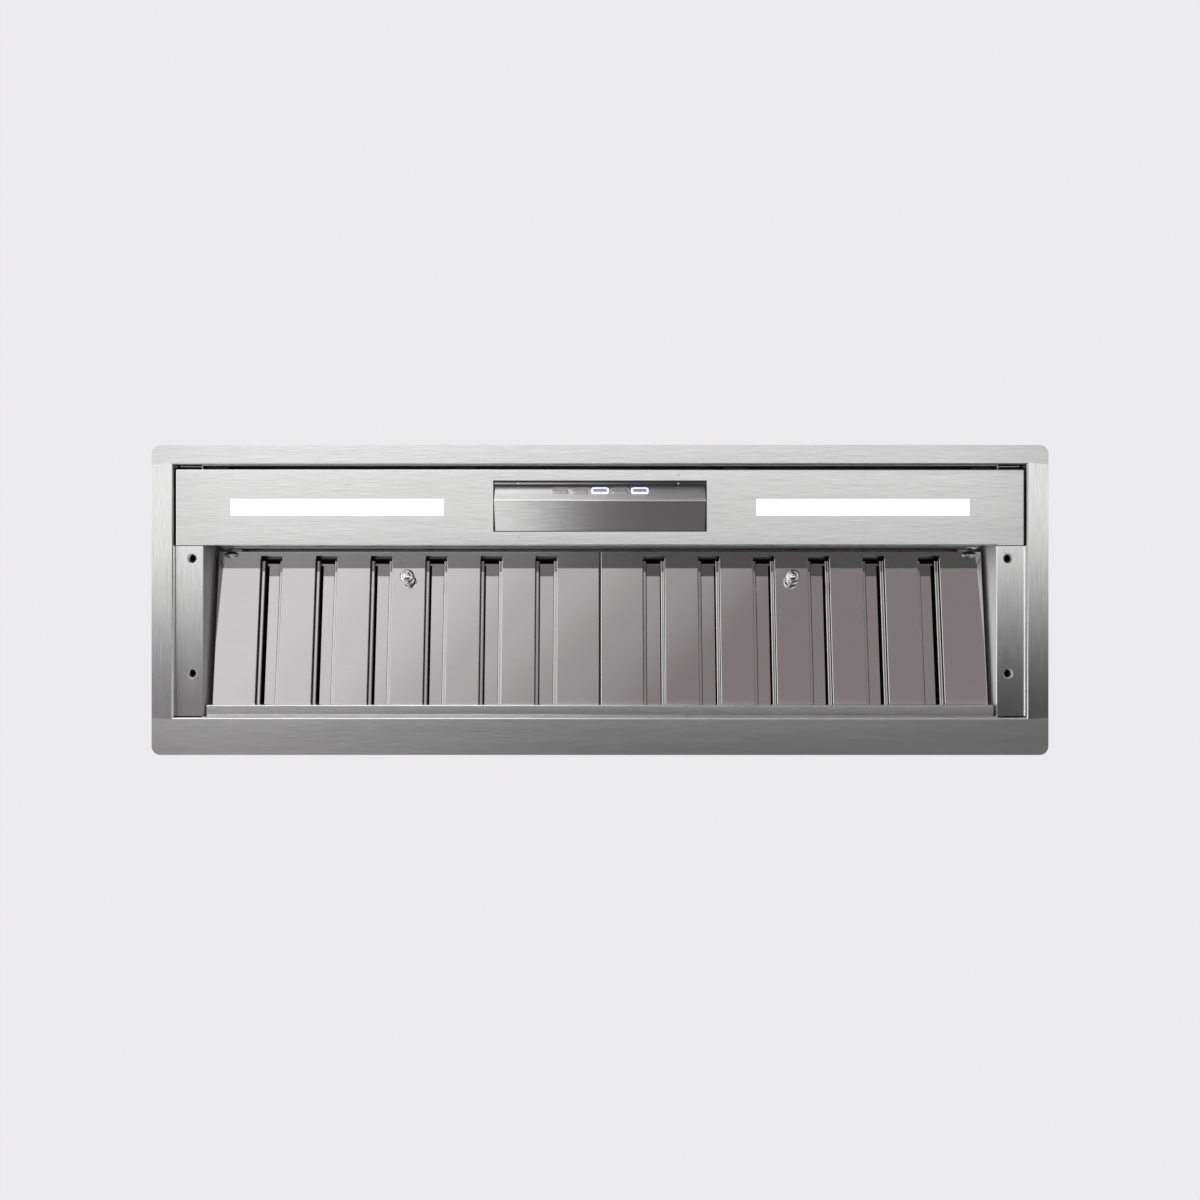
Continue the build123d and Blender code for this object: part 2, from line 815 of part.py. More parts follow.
for side, hand in ((-1, "left"), (1, "right")):
    face_plane = filter_plane(side)
    catch_local = side * (catch_x - filter_mid_x)

    with BuildPart() as filter_face:
        with BuildSketch(face_plane):
            with Locations((0, filter_mid_y)):
                Rectangle(filter_x, filter_length)
            with Locations(*[(x, slot_mid) for x in slot_x]):
                RectangleRounded(slot_width, slot_length, slot_corner_r, mode=Mode.SUBTRACT)
            with Locations((knob_x, -knob_reach)):
                Circle(knob_stud_r + hole_clearance, mode=Mode.SUBTRACT)
            with Locations((catch_local, -catch_reach)):
                Circle(catch_shank_r + hole_clearance, mode=Mode.SUBTRACT)
        extrude(amount=filter_sheet)
        leg_y = (-slot_front + leg_gap, slot_rear - leg_gap)
        for x in slot_x:
            for way in (-1, 1):
                edge = x + way * slot_width / 2
                out = edge + way * filter_sheet
                lip = edge - way * slot_lip
                sheet(face_plane, 0, (min(edge, out), max(edge, out)), leg_y, slot_leg)
                sheet(
                    face_plane,
                    slot_leg - filter_sheet,
                    (min(lip, out), max(lip, out)),
                    leg_y,
                    filter_sheet,
                )
        for low in (-filter_x / 2, filter_x / 2 - filter_sheet):
            sheet(face_plane, 0, (low, low + filter_sheet), (rim_front, filter_tail), filter_rim)
        sheet(face_plane, 0, (-filter_x / 2, filter_x / 2), (rim_front, frame_front), filter_rim)
        sheet(face_plane, 0, (-filter_x / 2, filter_x / 2), (frame_rear, filter_tail), filter_rim)
    save(filter_face, f"filter_face_{hand}")

    with BuildPart() as filter_frame:
        with BuildSketch(face_plane.offset(filter_height - frame_leg)):
            with Locations((0, frame_mid)):
                Rectangle(2 * frame_half, frame_length)
                Rectangle(
                    2 * (frame_half - filter_sheet),
                    frame_length - 2 * filter_sheet,
                    mode=Mode.SUBTRACT,
                )
        extrude(amount=frame_leg)
        with BuildSketch(face_plane.offset(baffle_top)):
            with Locations((0, frame_mid)):
                Rectangle(2 * frame_half, frame_length)
                Rectangle(
                    2 * (frame_half - frame_flange),
                    frame_length - 2 * frame_flange,
                    mode=Mode.SUBTRACT,
                )
            with Locations((catch_local, -catch_reach)):
                Circle(catch_shank_r + hole_clearance, mode=Mode.SUBTRACT)
        extrude(amount=filter_sheet)
    save(filter_frame, f"filter_frame_{hand}")

    with BuildPart() as filter_baffles:
        end = filter_sheet + baffle_end_gap
        baffle_y = (frame_front + end, frame_rear - end)
        half = slot_width / 2 + baffle_overlap
        for x in slot_x:
            sheet(
                face_plane,
                baffle_top - filter_sheet,
                (x - half, x + half),
                baffle_y,
                filter_sheet,
            )
            for low in (x - half, x + half - filter_sheet):
                sheet(
                    face_plane,
                    baffle_leg_gap,
                    (low, low + filter_sheet),
                    baffle_y,
                    baffle_top - baffle_leg_gap,
                )
    save(filter_baffles, f"filter_baffles_{hand}")

    with BuildPart() as filter_knob:
        knob_plane = Plane(
            origin=face_plane.from_local_coords((knob_x, -knob_reach, 0)),
            x_dir=(1, 0, 0),
            z_dir=-face_plane.z_dir,
        )
        with BuildSketch(knob_plane):
            Circle(knob_base_r)
        extrude(amount=knob_base_height)
        with BuildSketch(knob_plane.offset(knob_base_height)):
            Circle(knob_neck_r)
        extrude(amount=knob_neck_height)
        head_start = knob_base_height + knob_neck_height
        with BuildSketch(knob_plane.offset(head_start)):
            Circle(knob_r)
        extrude(amount=knob_height - head_start)
        head_rims = filter_knob.edges().filter_by(GeomType.CIRCLE)
        fillet(head_rims.filter_by(lambda e: abs(e.radius - knob_r) < 0.001), radius=knob_edge_r)
        with BuildSketch(knob_plane):
            Circle(knob_stud_r)
        extrude(amount=-knob_stud)
    save(filter_knob, f"filter_knob_{hand}")

    with BuildPart() as knob_nut:
        with BuildSketch(face_plane.offset(filter_sheet)):
            with Locations((knob_x, -knob_reach)):
                RegularPolygon(knob_nut_r, 6)
                Circle(knob_stud_r, mode=Mode.SUBTRACT)
        extrude(amount=knob_nut_height)
    save(knob_nut, f"knob_nut_{hand}")

    with BuildPart() as filter_catch:
        with BuildSketch(face_plane):
            with Locations((catch_local, -catch_reach)):
                SlotOverall(catch_length, catch_width)
        extrude(amount=-catch_head)
        with BuildSketch(face_plane):
            with Locations((catch_local, -catch_reach)):
                Circle(catch_shank_r)
        extrude(amount=catch_tip_height)
        tip = face_plane.from_local_coords((catch_local, -catch_reach, catch_tip_height))
        with Locations(tip):
            Sphere(catch_tip_r)
    save(filter_catch, f"filter_catch_{hand}")

# ---------------------------------------------------------------- upper box, collar and damper

with BuildPart() as blower_box:
    block(
        (-box_x / 2, box_x / 2),
        (box_mid - box_y / 2, box_mid + box_y / 2),
        (shell_top, box_top),
    )
    block(
        (-box_x / 2 - box_flange, box_x / 2 + box_flange),
        (box_mid - box_y / 2 - box_flange, box_mid + box_y / 2 + box_flange),
        (shell_top, shell_top + shell_sheet),
    )
    block(
        (-box_x / 2 + shell_sheet, box_x / 2 - shell_sheet),
        (box_mid - box_y / 2 + shell_sheet, box_mid + box_y / 2 - shell_sheet),
        (shell_top, box_top - shell_sheet),
        mode=Mode.SUBTRACT,
    )
    with BuildSketch(Plane.XY.offset(box_top)):
        with Locations((0, box_mid)):
            Circle(duct_r - collar_sheet)
    extrude(amount=-shell_sheet, mode=Mode.SUBTRACT)
    with BuildSketch(Plane.YZ.offset(box_x / 2)):
        with Locations((fan_y, motor_cable_z)):
            Circle(motor_cable_r + cable_clearance)
    extrude(amount=-shell_sheet, mode=Mode.SUBTRACT)
save(blower_box, "blower_box")

screw_x = (box_x + box_flange) / 2
screw_y = (box_y + box_flange) / 2
with BuildPart() as blower_screws:
    corners = [(a * screw_x, box_mid + b * screw_y) for a in (-1, 1) for b in (-1, 1)]
    sides = [(a * screw_x, box_mid) for a in (-1, 1)]
    with BuildSketch(Plane.XY.offset(shell_top + shell_sheet)):
        with Locations(*corners, *sides):
            Circle(screw_head_r)
    extrude(amount=screw_head_height)
save(blower_screws, "blower_screws")

axle_y = (box_mid - axle_offset, box_mid + axle_offset)
with BuildPart() as duct_collar:
    with BuildSketch(Plane.XY.offset(box_top)):
        with Locations((0, box_mid)):
            Circle(duct_r + collar_flange)
            Circle(duct_r - collar_sheet, mode=Mode.SUBTRACT)
    extrude(amount=collar_sheet)
    with BuildSketch(Plane.XY.offset(collar_base)):
        with Locations((0, box_mid)):
            Circle(duct_r)
            Circle(duct_r - collar_sheet, mode=Mode.SUBTRACT)
    extrude(amount=collar_height)
    seat_top = axle_z - roll_r - seat_gap
    with BuildSketch(Plane.XY.offset(seat_top)):
        with Locations((0, box_mid)):
            Circle(duct_r - collar_sheet)
            Circle(duct_r - collar_sheet - seat_width, mode=Mode.SUBTRACT)
            Rectangle(2 * (duct_r - collar_sheet) - seat_width, seat_bar)
    extrude(amount=-collar_sheet)
    with BuildSketch(Plane.YZ.offset(-duct_r)):
        with Locations(*[(y, axle_z) for y in axle_y]):
            Circle(axle_r)
    extrude(amount=2 * duct_r, mode=Mode.SUBTRACT)
save(duct_collar, "duct_collar")

with BuildPart() as damper_axles:
    with BuildSketch(Plane.YZ.offset(-duct_r + collar_sheet / 2)):
        with Locations(*[(y, axle_z) for y in axle_y]):
            Circle(axle_r)
    extrude(amount=2 * duct_r - collar_sheet)
save(damper_axles, "damper_axles")

# Each flap lifts round its own axle, and shuts down on the ring and the bar across it.
flap_r = duct_r - collar_sheet - flap_gap
roll_half = flap_r - roll_end_gap
for side, y, hand in ((-1, axle_y[0], "front"), (1, axle_y[1], "rear")):
    with BuildPart() as damper_flap:
        with BuildSketch(Plane.XY.offset(axle_z - roll_r)):
            with Locations((0, box_mid)):
                Circle(flap_r)
            with Locations((0, y - side * flap_r)):
                Rectangle(2 * flap_r, 2 * flap_r, mode=Mode.SUBTRACT)
        extrude(amount=flap_sheet)
        with BuildSketch(Plane.YZ.offset(-roll_half)):
            with Locations((y, axle_z)):
                Circle(roll_r)
        extrude(amount=2 * roll_half)
        with BuildSketch(Plane.YZ.offset(-flap_r)):
            with Locations((y, axle_z)):
                Circle(axle_r + axle_clearance)
        extrude(amount=2 * flap_r, mode=Mode.SUBTRACT)
    save(damper_flap, f"damper_flap_{hand}")

# ---------------------------------------------------------------- fan

def volute_point(angle):
    """Point of the fan casing's spiral in the Y-Z plane, for an angle from +Y towards +Z."""
    radius = volute_start_r + volute_growth * (angle - tongue_angle) / (360 - tongue_angle)
    return (fan_y + radius * cos(radians(angle)), fan_z + radius * sin(radians(angle)))


def volute(top, wall=0.0):
    """The fan casing's spiral and the neck above it, grown outwards by a wall."""
    arc = (360 - tongue_angle) / volute_arcs
    stops = [tongue_angle + arc * i for i in range(volute_arcs + 1)]
    with BuildSketch(Plane.YZ) as space:
        with BuildLine():
            for a, b in zip(stops, stops[1:]):
                ThreePointArc(volute_point(a), volute_point((a + b) / 2), volute_point(b))
            tongue = volute_point(tongue_angle)
            outer = volute_point(360)
            Polyline(outer, (outer[0], top - wall), (tongue[0], top - wall), tongue)
        make_face()
        if wall:
            offset(amount=wall)
    return space.sketch


with BuildPart() as scroll_shell_right:
    extrude(volute(neck_top, casing_wall), amount=casing_half)
    extrude(
        volute(neck_top + casing_wall),
        amount=casing_half - casing_wall,
        mode=Mode.SUBTRACT,
    )
    with BuildSketch(Plane.YZ.offset(casing_half)):
        with Locations((fan_y, fan_z)):
            Circle(inlet_r)
            with PolarLocations(foot_r, spider_arms, start_angle=spider_turn):
                Circle(screw_r + hole_clearance)
    extrude(amount=-casing_wall, mode=Mode.SUBTRACT)
save(scroll_shell_right, "scroll_shell_right")

with BuildPart() as scroll_shell_left:
    extrude(volute(neck_top, casing_wall), amount=-casing_half)
    extrude(
        volute(neck_top + casing_wall),
        amount=-(casing_half - casing_wall),
        mode=Mode.SUBTRACT,
    )
    with BuildSketch(Plane.YZ.offset(-casing_half)):
        with Locations((fan_y, fan_z)):
            Circle(inlet_r)
    extrude(amount=casing_wall, mode=Mode.SUBTRACT)
save(scroll_shell_left, "scroll_shell_left")

neck_left = volute_point(tongue_angle)[0]
neck_right = volute_point(360)[0]
duct_top = box_top - shell_sheet
with BuildPart() as outlet_duct:
    for wall, mode in ((casing_wall, Mode.ADD), (0, Mode.SUBTRACT)):
        with BuildSketch(Plane.XY.offset(neck_top)):
            with Locations((0, (neck_left + neck_right) / 2)):
                Rectangle(
                    2 * (casing_half - casing_wall + wall), neck_right - neck_left + 2 * wall
                )
        with BuildSketch(Plane.XY.offset(duct_top)):
            with Locations((0, box_mid)):
                Circle(duct_r - collar_sheet + wall)
        loft(mode=mode)
save(outlet_duct, "outlet_duct")

for side, hand in ((-1, "left"), (1, "right")):
    with BuildPart() as impeller:
        with BuildSketch(Plane.YZ):
            with Locations((fan_y, fan_z)):
                Circle(wheel_r)
                Circle(shaft_r, mode=Mode.SUBTRACT)
        extrude(amount=side * disc_thickness)
        with BuildSketch(Plane.YZ):
            with Locations((fan_y, fan_z)):
                with PolarLocations(wheel_r - rim_width / 2, blade_count):
                    Rectangle(blade_depth, blade_thickness, rotation=side * blade_pitch)
        extrude(amount=side * wheel_half)
        with BuildSketch(Plane.YZ.offset(side * (wheel_half - rim_thickness))):
            with Locations((fan_y, fan_z)):
                Circle(wheel_r)
                Circle(wheel_r - rim_width, mode=Mode.SUBTRACT)
        extrude(amount=side * rim_thickness)
    save(impeller, f"impeller_{hand}")

with BuildPart() as rotor_shaft:
    with BuildSketch(Plane.YZ.offset(shaft_start)):
        with Locations((fan_y, fan_z)):
            Circle(shaft_r)
    extrude(amount=shaft_end - shaft_start)
    with BuildSketch(Plane.YZ.offset(-disc_thickness)):
        with Locations((fan_y, fan_z)):
            Circle(hub_r)
    extrude(amount=-hub_length)
save(rotor_shaft, "rotor_shaft")

with BuildPart() as motor_body:
    with BuildSketch(Plane.YZ.offset(motor_start)):
        with Locations((fan_y, fan_z)):
            Circle(motor_r)
    extrude(amount=motor_end - motor_start)
    with BuildSketch(Plane.YZ.offset(motor_start)):
        with Locations((fan_y, fan_z)):
            Circle(shaft_r + shaft_clearance)
    extrude(amount=shaft_end - motor_start + motor_bore_gap, mode=Mode.SUBTRACT)
save(motor_body, "motor_body")

with BuildPart() as motor_bracket:
    with BuildSketch(Plane.YZ.offset(motor_end)):
        with Locations((fan_y, fan_z)):
            Circle(spider_hub_r)
            with PolarLocations(spider_arm_r / 2, spider_arms, start_angle=spider_turn):
                Rectangle(spider_arm_r, spider_arm_width)
    extrude(amount=bracket_sheet)
    with BuildSketch(Plane.YZ.offset(casing_half)):
        with Locations((fan_y, fan_z)):
            with PolarLocations(foot_r, spider_arms, start_angle=spider_turn):
                Rectangle(spider_foot, spider_arm_width)
    extrude(amount=motor_proud)
    with BuildSketch(Plane.YZ.offset(casing_half)):
        with Locations((fan_y, fan_z)):
            with PolarLocations(foot_r, spider_arms, start_angle=spider_turn):
                Circle(screw_r + hole_clearance)
    extrude(amount=motor_proud + bracket_sheet, mode=Mode.SUBTRACT)
save(motor_bracket, "motor_bracket")

with BuildPart() as motor_screws:
    head_x = motor_end + bracket_sheet
    with BuildSketch(Plane.YZ.offset(head_x)):
        with Locations((fan_y, fan_z)):
            with PolarLocations(foot_r, spider_arms, start_angle=spider_turn):
                Circle(screw_head_r)
    extrude(amount=screw_head_height)
    with BuildSketch(Plane.YZ.offset(head_x)):
        with Locations((fan_y, fan_z)):
            with PolarLocations(foot_r, spider_arms, start_angle=spider_turn):
                Circle(screw_r)
    extrude(amount=-screw_length)
save(motor_screws, "motor_screws")

# ---------------------------------------------------------------- electrics

case_x = (control_box_start, control_box_start + control_box_x)
case_y = (cable_y - control_box_shift, cable_y - control_box_shift + control_box_y)
case_z = (shell_top, shell_top + control_box_height)
gland_y = case_y[1] - gland_inset_y
gland_z = shell_top + gland_shift_z

with BuildPart() as control_box:
    block(case_x, case_y, case_z)
    block(
        (case_x[0] + control_box_wall, case_x[1] - control_box_wall),
        (case_y[0] + control_box_wall, case_y[1] - control_box_wall),
        (case_z[0] + control_box_wall, case_z[1]),
        mode=Mode.SUBTRACT,
    )
    with BuildSketch(Plane.XY.offset(shell_top)):
        with Locations((light_cable_x, cable_y)):
            Circle(light_cable_r + cable_clearance)
    extrude(amount=control_box_wall, mode=Mode.SUBTRACT)
    with BuildSketch(Plane.YZ.offset(case_x[1])):
        with Locations((gland_y, gland_z)):
            Circle(gland_r + hole_clearance)
    extrude(amount=-control_box_wall, mode=Mode.SUBTRACT)
    with BuildSketch(Plane.YZ.offset(case_x[0])):
        with Locations((fan_y, motor_cable_z)):
            Circle(motor_cable_r + cable_clearance)
    extrude(amount=control_box_wall, mode=Mode.SUBTRACT)
save(control_box, "control_box")

with BuildPart() as control_box_cover:
    block(case_x, case_y, (case_z[1], case_z[1] + control_box_wall))
save(control_box_cover, "control_box_cover")

with BuildPart() as cable_gland:
    with BuildSketch(Plane.YZ.offset(case_x[1] - control_box_wall)):
        with Locations((gland_y, gland_z)):
            Circle(gland_r)
    extrude(amount=gland_length)
    with BuildSketch(Plane.YZ.offset(case_x[1])):
        with Locations((gland_y, gland_z)):
            RegularPolygon(gland_hex_r, 6)
    extrude(amount=gland_hex_length)
    with BuildSketch(Plane.YZ.offset(case_x[1] - control_box_wall)):
        with Locations((gland_y, gland_z)):
            Circle(gland_bore_r)
    extrude(amount=gland_length, mode=Mode.SUBTRACT)
save(cable_gland, "cable_gland")

floor_z = case_z[0] + control_box_wall
with BuildPart() as terminal_block:
    terminal_y = case_y[1] - control_box_wall - terminal_size[1]
    block(
        (case_x[0] + control_box_wall, case_x[0] + control_box_wall + terminal_size[0]),
        (terminal_y, terminal_y + terminal_size[1]),
        (floor_z, floor_z + terminal_size[2]),
    )
save(terminal_block, "terminal_block")

with BuildPart() as capacitor:
    capacitor_x = case_x[1] - control_box_wall - capacitor_length - capacitor_r
    with BuildSketch(Plane.YZ.offset(capacitor_x)):
        with Locations((case_y[0] + control_box_wall + capacitor_r, floor_z + capacitor_r)):
            Circle(capacitor_r)
    extrude(amount=capacitor_length)
save(capacitor, "capacitor")


def cable(points, bend, radius):
    """A cable of round section along straight runs joined by bends."""
    with BuildLine() as route:
        FilletPolyline(*points, radius=bend)
    with BuildSketch(Plane(origin=route.line @ 0, z_dir=route.line % 0)) as section:
        Circle(radius)
    sweep(section.sketch, path=route.line)


with BuildPart() as motor_cable:
    cable(
        [
            (case_x[0] + control_box_wall, fan_y, motor_cable_z),
            (motor_cable_turn_x, fan_y, motor_cable_z),
            (motor_cable_turn_x, fan_y, fan_z - motor_cable_from_axis),
            (motor_end, fan_y, fan_z - motor_cable_from_axis),
        ],
        motor_cable_bend,
        motor_cable_r,
    )
save(motor_cable, "motor_cable")

# The lights' cable comes down from the control box to the circuit board, and a lead goes
# from the board to each light.
with BuildPart() as light_cable:
    cable(
        [
            (light_cable_x, cable_y, floor_z + light_cable_start),
            (light_cable_x, cable_y, shell_top - light_cable_drop),
            (supply_plug_x, cable_y, shell_top - light_cable_drop),
            (supply_plug_x, cable_y, connector_z),
        ],
        light_cable_bend,
        light_cable_r,
    )
save(light_cable, "light_cable")

with BuildPart() as light_leads:
    for side in (-1, 1):
        cable(
            [
                (side * (led_x - tray_x / 2), cable_y, lead_z),
                (side * light_plug_x, cable_y, lead_z),
                (side * light_plug_x, cable_y, connector_z),
            ],
            light_lead_bend,
            light_lead_r,
        )
save(light_leads, "light_leads")
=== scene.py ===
import json
from math import cos, hypot, pi, radians, sin

import bmesh
import bpy
from mathutils import Matrix, Vector


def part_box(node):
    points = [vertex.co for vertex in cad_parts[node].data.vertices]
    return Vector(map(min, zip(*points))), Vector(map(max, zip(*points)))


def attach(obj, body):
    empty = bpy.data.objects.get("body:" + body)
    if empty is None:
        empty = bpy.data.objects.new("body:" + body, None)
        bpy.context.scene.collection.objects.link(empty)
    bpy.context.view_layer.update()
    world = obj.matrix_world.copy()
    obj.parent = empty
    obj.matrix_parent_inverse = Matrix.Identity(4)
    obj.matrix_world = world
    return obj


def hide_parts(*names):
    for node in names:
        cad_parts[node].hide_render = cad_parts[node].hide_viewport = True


bl_info = {
    "name": "Range Hood Insert",
    "version": (1, 0, 0),
    "blender": (4, 5, 0),
    "location": "3D View > Sidebar > Hood",
    "description": "Dresses the range hood insert with bent sheets, finishes and studio light",
    "category": "Object",
}

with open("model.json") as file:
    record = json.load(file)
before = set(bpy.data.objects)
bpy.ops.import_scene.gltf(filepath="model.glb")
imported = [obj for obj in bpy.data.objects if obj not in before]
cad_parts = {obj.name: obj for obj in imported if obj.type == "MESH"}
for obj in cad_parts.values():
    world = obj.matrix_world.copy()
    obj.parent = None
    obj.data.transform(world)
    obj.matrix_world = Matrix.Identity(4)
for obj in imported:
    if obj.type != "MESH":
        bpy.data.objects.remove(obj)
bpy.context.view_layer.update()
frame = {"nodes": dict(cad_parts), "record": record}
nodes = frame["nodes"]

MM = 0.001

# Sizes of the insert in millimetres, in the frame of the solids.
face_z = -9.0
sheet = 1.2
thin_sheet = 1.0
filter_sheet = 0.8
flange_corner = 8.5
opening_x = 413.0
opening_front, opening_rear = -146.7, 98.4
filter_slope = radians(12.0)
pivot = Vector((0.0, 85.9, 9.6))
filter_middle = 190.15
filter_half = 189.4
filter_front, filter_rear = -153.2, 6.0
slot_front, slot_rear = -148.6, 3.0
slot_half = 10.6
slot_pitch = 54.7
slot_count = 6
knob_reach = 124.9
catch_x, catch_reach = 367.2, 149.8
toe_y, ridge_y, heel_y = -125.5, -110.4, -82.4
ridge_depth = 25.0
wedge_half = 101.2
button_pitch = 19.2
button_row = 9.35           # down the steep face, from its toe to the middle of the buttons
button_stand = 0.8          # of caps and rings above the steep face
ring_size = (16.1, 10.2, 2.6)     # width, height and corner radius
ring_hole = (14.5, 8.6, 1.8)
cap_size = (13.8, 7.9, 1.5)
lit_buttons = (2, 4)
dark_buttons = (0, 1, 3)
near = 0.01                 # a point this close to a line lies on it
hands = ((-1, "left"), (1, "right"))


# ---------------------------------------------------------------- settings

class HoodBends(bpy.types.PropertyGroup):
    """Radii of the folds and edges."""

    fold: bpy.props.FloatProperty(
        name="Fold radius", description="Outer radius of the folds of the flange and panel",
        default=1.5, min=0.2, max=4.0,
    )
    thin_fold: bpy.props.FloatProperty(
        name="Thin fold radius", description="Outer radius of the folds of the thinner sheets",
        default=1.1, min=0.2, max=3.0,
    )
    edge: bpy.props.FloatProperty(
        name="Edge softness", description="Width of the broken edges of cut sheet",
        default=0.18, min=0.02, max=0.5,
    )
    button_edge: bpy.props.FloatProperty(
        name="Button edge", description="Radius of the buttons' edges",
        default=0.6, min=0.1, max=1.0,
    )


class HoodFinishes(bpy.types.PropertyGroup):
    """Colours and gloss of the surfaces."""

    steel: bpy.props.FloatVectorProperty(
        name="Brushed steel", description="Colour of the brushed steel",
        subtype="COLOR", size=3, default=(0.76, 0.757, 0.755), min=0.0, max=1.0,
    )
    steel_gloss: bpy.props.FloatProperty(
        name="Brushed roughness", description="Roughness of the brushed steel",
        subtype="FACTOR", default=0.22, min=0.05, max=0.8,
    )
    mirror: bpy.props.FloatVectorProperty(
        name="Polished steel", description="Colour of the polished filters",
        subtype="COLOR", size=3, default=(0.68, 0.665, 0.665), min=0.0, max=1.0,
    )
    zinc: bpy.props.FloatVectorProperty(
        name="Galvanised sheet", description="Colour of the galvanised casing",
        subtype="COLOR", size=3, default=(0.6, 0.61, 0.62), min=0.0, max=1.0,
    )
    lit_ring: bpy.props.FloatVectorProperty(
        name="Lit ring", description="Colour of the light round a button that is on",
        subtype="COLOR", size=3, default=(0.42, 0.46, 1.0), min=0.0, max=1.0,
    )
    strip: bpy.props.FloatVectorProperty(
        name="Light strip", description="Colour of the light strips",
        subtype="COLOR", size=3, default=(1.0, 0.995, 0.975), min=0.0, max=1.0,
    )
    strip_power: bpy.props.FloatProperty(
        name="Strip strength", description="Strength of the light strips",
        default=1.1, min=0.0, max=20.0,
    )


class HoodStudio(bpy.types.PropertyGroup):
    """Camera, background and lamps."""

    distance: bpy.props.FloatProperty(
        name="Camera distance", description="Camera below the visible face",
        subtype="DISTANCE", unit="LENGTH", default=1.69, min=0.5, max=5.0,
    )
    lens: bpy.props.FloatProperty(
        name="Lens", description="Focal length on a 36 mm sensor",
        default=52.39, min=20.0, max=200.0,
    )
    backdrop: bpy.props.FloatVectorProperty(
        name="Backdrop", description="Colour of the background",
        subtype="COLOR", size=3, default=(0.84, 0.828, 0.845), min=0.0, max=1.0,
    )
    floor_depth: bpy.props.FloatProperty(
        name="Floor depth", description="Floor below the insert",
        subtype="DISTANCE", unit="LENGTH", default=2.0, min=1.8, max=4.0,
    )


# ---------------------------------------------------------------- modelling tools

def box_of(solid):
    """Low and high corner of a solid in millimetres."""
    return [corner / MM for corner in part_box(solid)]


def new_piece(name, bm, material, body="insert_body", replaced=(), sheet_of=0.0,
              edge=0.0, second=None, inside=0):
    """Turns a mesh made in millimetres into a finished piece that rides on a body."""
    bmesh.ops.scale(bm, vec=(MM, MM, MM), verts=bm.verts)
    mesh = bpy.data.meshes.new(name)
    bm.to_mesh(mesh)
    bm.free()
    mesh.materials.append(material)
    if second:
        mesh.materials.append(second)
    mesh.shade_smooth()
    mesh.set_sharp_from_angle(angle=radians(35))
    piece = bpy.data.objects.new(name, mesh)
    bpy.context.scene.collection.objects.link(piece)
    if sheet_of:
        wall = piece.modifiers.new("Sheet", "SOLIDIFY")
        wall.thickness = sheet_of * MM
        wall.offset = -1.0
        wall.use_even_offset = True
        wall.material_offset = inside
    if edge:
        soft = piece.modifiers.new("Edges", "BEVEL")
        soft.width = edge * MM
        soft.segments = 2
        soft.limit_method = "ANGLE"
        soft.angle_limit = radians(50)
        soft.use_clamp_overlap = True
    shade = piece.modifiers.new("Shading", "WEIGHTED_NORMAL")
    shade.keep_sharp = True
    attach(piece, body)
    if replaced:
        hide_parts(*replaced)


def once(items):
    """The items in the order they come, each of them once."""
    return list(dict.fromkeys(items))


def new_vertices(result):
    return [item for item in result["geom"] if isinstance(item, bmesh.types.BMVert)]


def new_edges(result):
    return [item for item in result["geom"] if isinstance(item, bmesh.types.BMEdge)]


def pull(bm, edges, way):
    """Pulls a wall out of some edges and gives its far edges."""
    result = bmesh.ops.extrude_edge_only(bm, edges=edges)
    far = new_vertices(result)
    bmesh.ops.translate(bm, verts=far, vec=way)
    far = set(far)
    return [e for e in new_edges(result) if all(v in far for v in e.verts)]


def round_edges(bm, edges, radius, steps=4):
    """Rounds those of the edges that are still there."""
    there = [e for e in edges if e.is_valid]
    bmesh.ops.bevel(
        bm, geom=there, offset=radius, offset_type="OFFSET", segments=steps,
        profile=0.5, affect="EDGES", clamp_overlap=True, material=-1,
    )


def round_corners(bm, corners, radius, steps):
    bmesh.ops.bevel(
        bm, geom=list(corners), offset=radius, offset_type="OFFSET", segments=steps,
        profile=0.5, affect="VERTICES", clamp_overlap=True, material=-1,
    )


def lattice(bm, xs, ys, z):
    """A flat grid whose lines lie at the given places."""
    made = bmesh.ops.create_grid(bm, x_segments=len(xs) - 1, y_segments=len(ys) - 1, size=1.0)
    columns = sorted({round(v.co.x, 5) for v in made["verts"]})
    rows = sorted({round(v.co.y, 5) for v in made["verts"]})
    for v in made["verts"]:
        column = columns.index(round(v.co.x, 5))
        row = rows.index(round(v.co.y, 5))
        v.co = (xs[column], ys[row], z)
    return made["verts"]


def strip(bm, points, start, end, along="X"):
    """A sheet drawn along X or Y from a line of points; its inner edges are the folds."""
    if along == "X":
        line = [bm.verts.new((start, a, b)) for a, b in points]
        way = Vector((end - start, 0, 0))
    else:
        line = [bm.verts.new((a, start, b)) for a, b in points]
        way = Vector((0, end - start, 0))
    edges = [bm.edges.new(pair) for pair in zip(line, line[1:])]
    result = bmesh.ops.extrude_edge_only(bm, edges=edges)
    bmesh.ops.translate(bm, verts=new_vertices(result), vec=way)
    return [e for e in bm.edges if len(e.link_faces) == 2]


def face_out(bm, point, way):
    """Turns the faces so that the one nearest a point looks the given way."""
    bmesh.ops.recalc_face_normals(bm, faces=bm.faces)
    nearest = min(bm.faces, key=lambda f: (f.calc_center_median() - Vector(point)).length)
    if nearest.normal.dot(Vector(way)) < 0:
        bmesh.ops.reverse_faces(bm, faces=bm.faces)


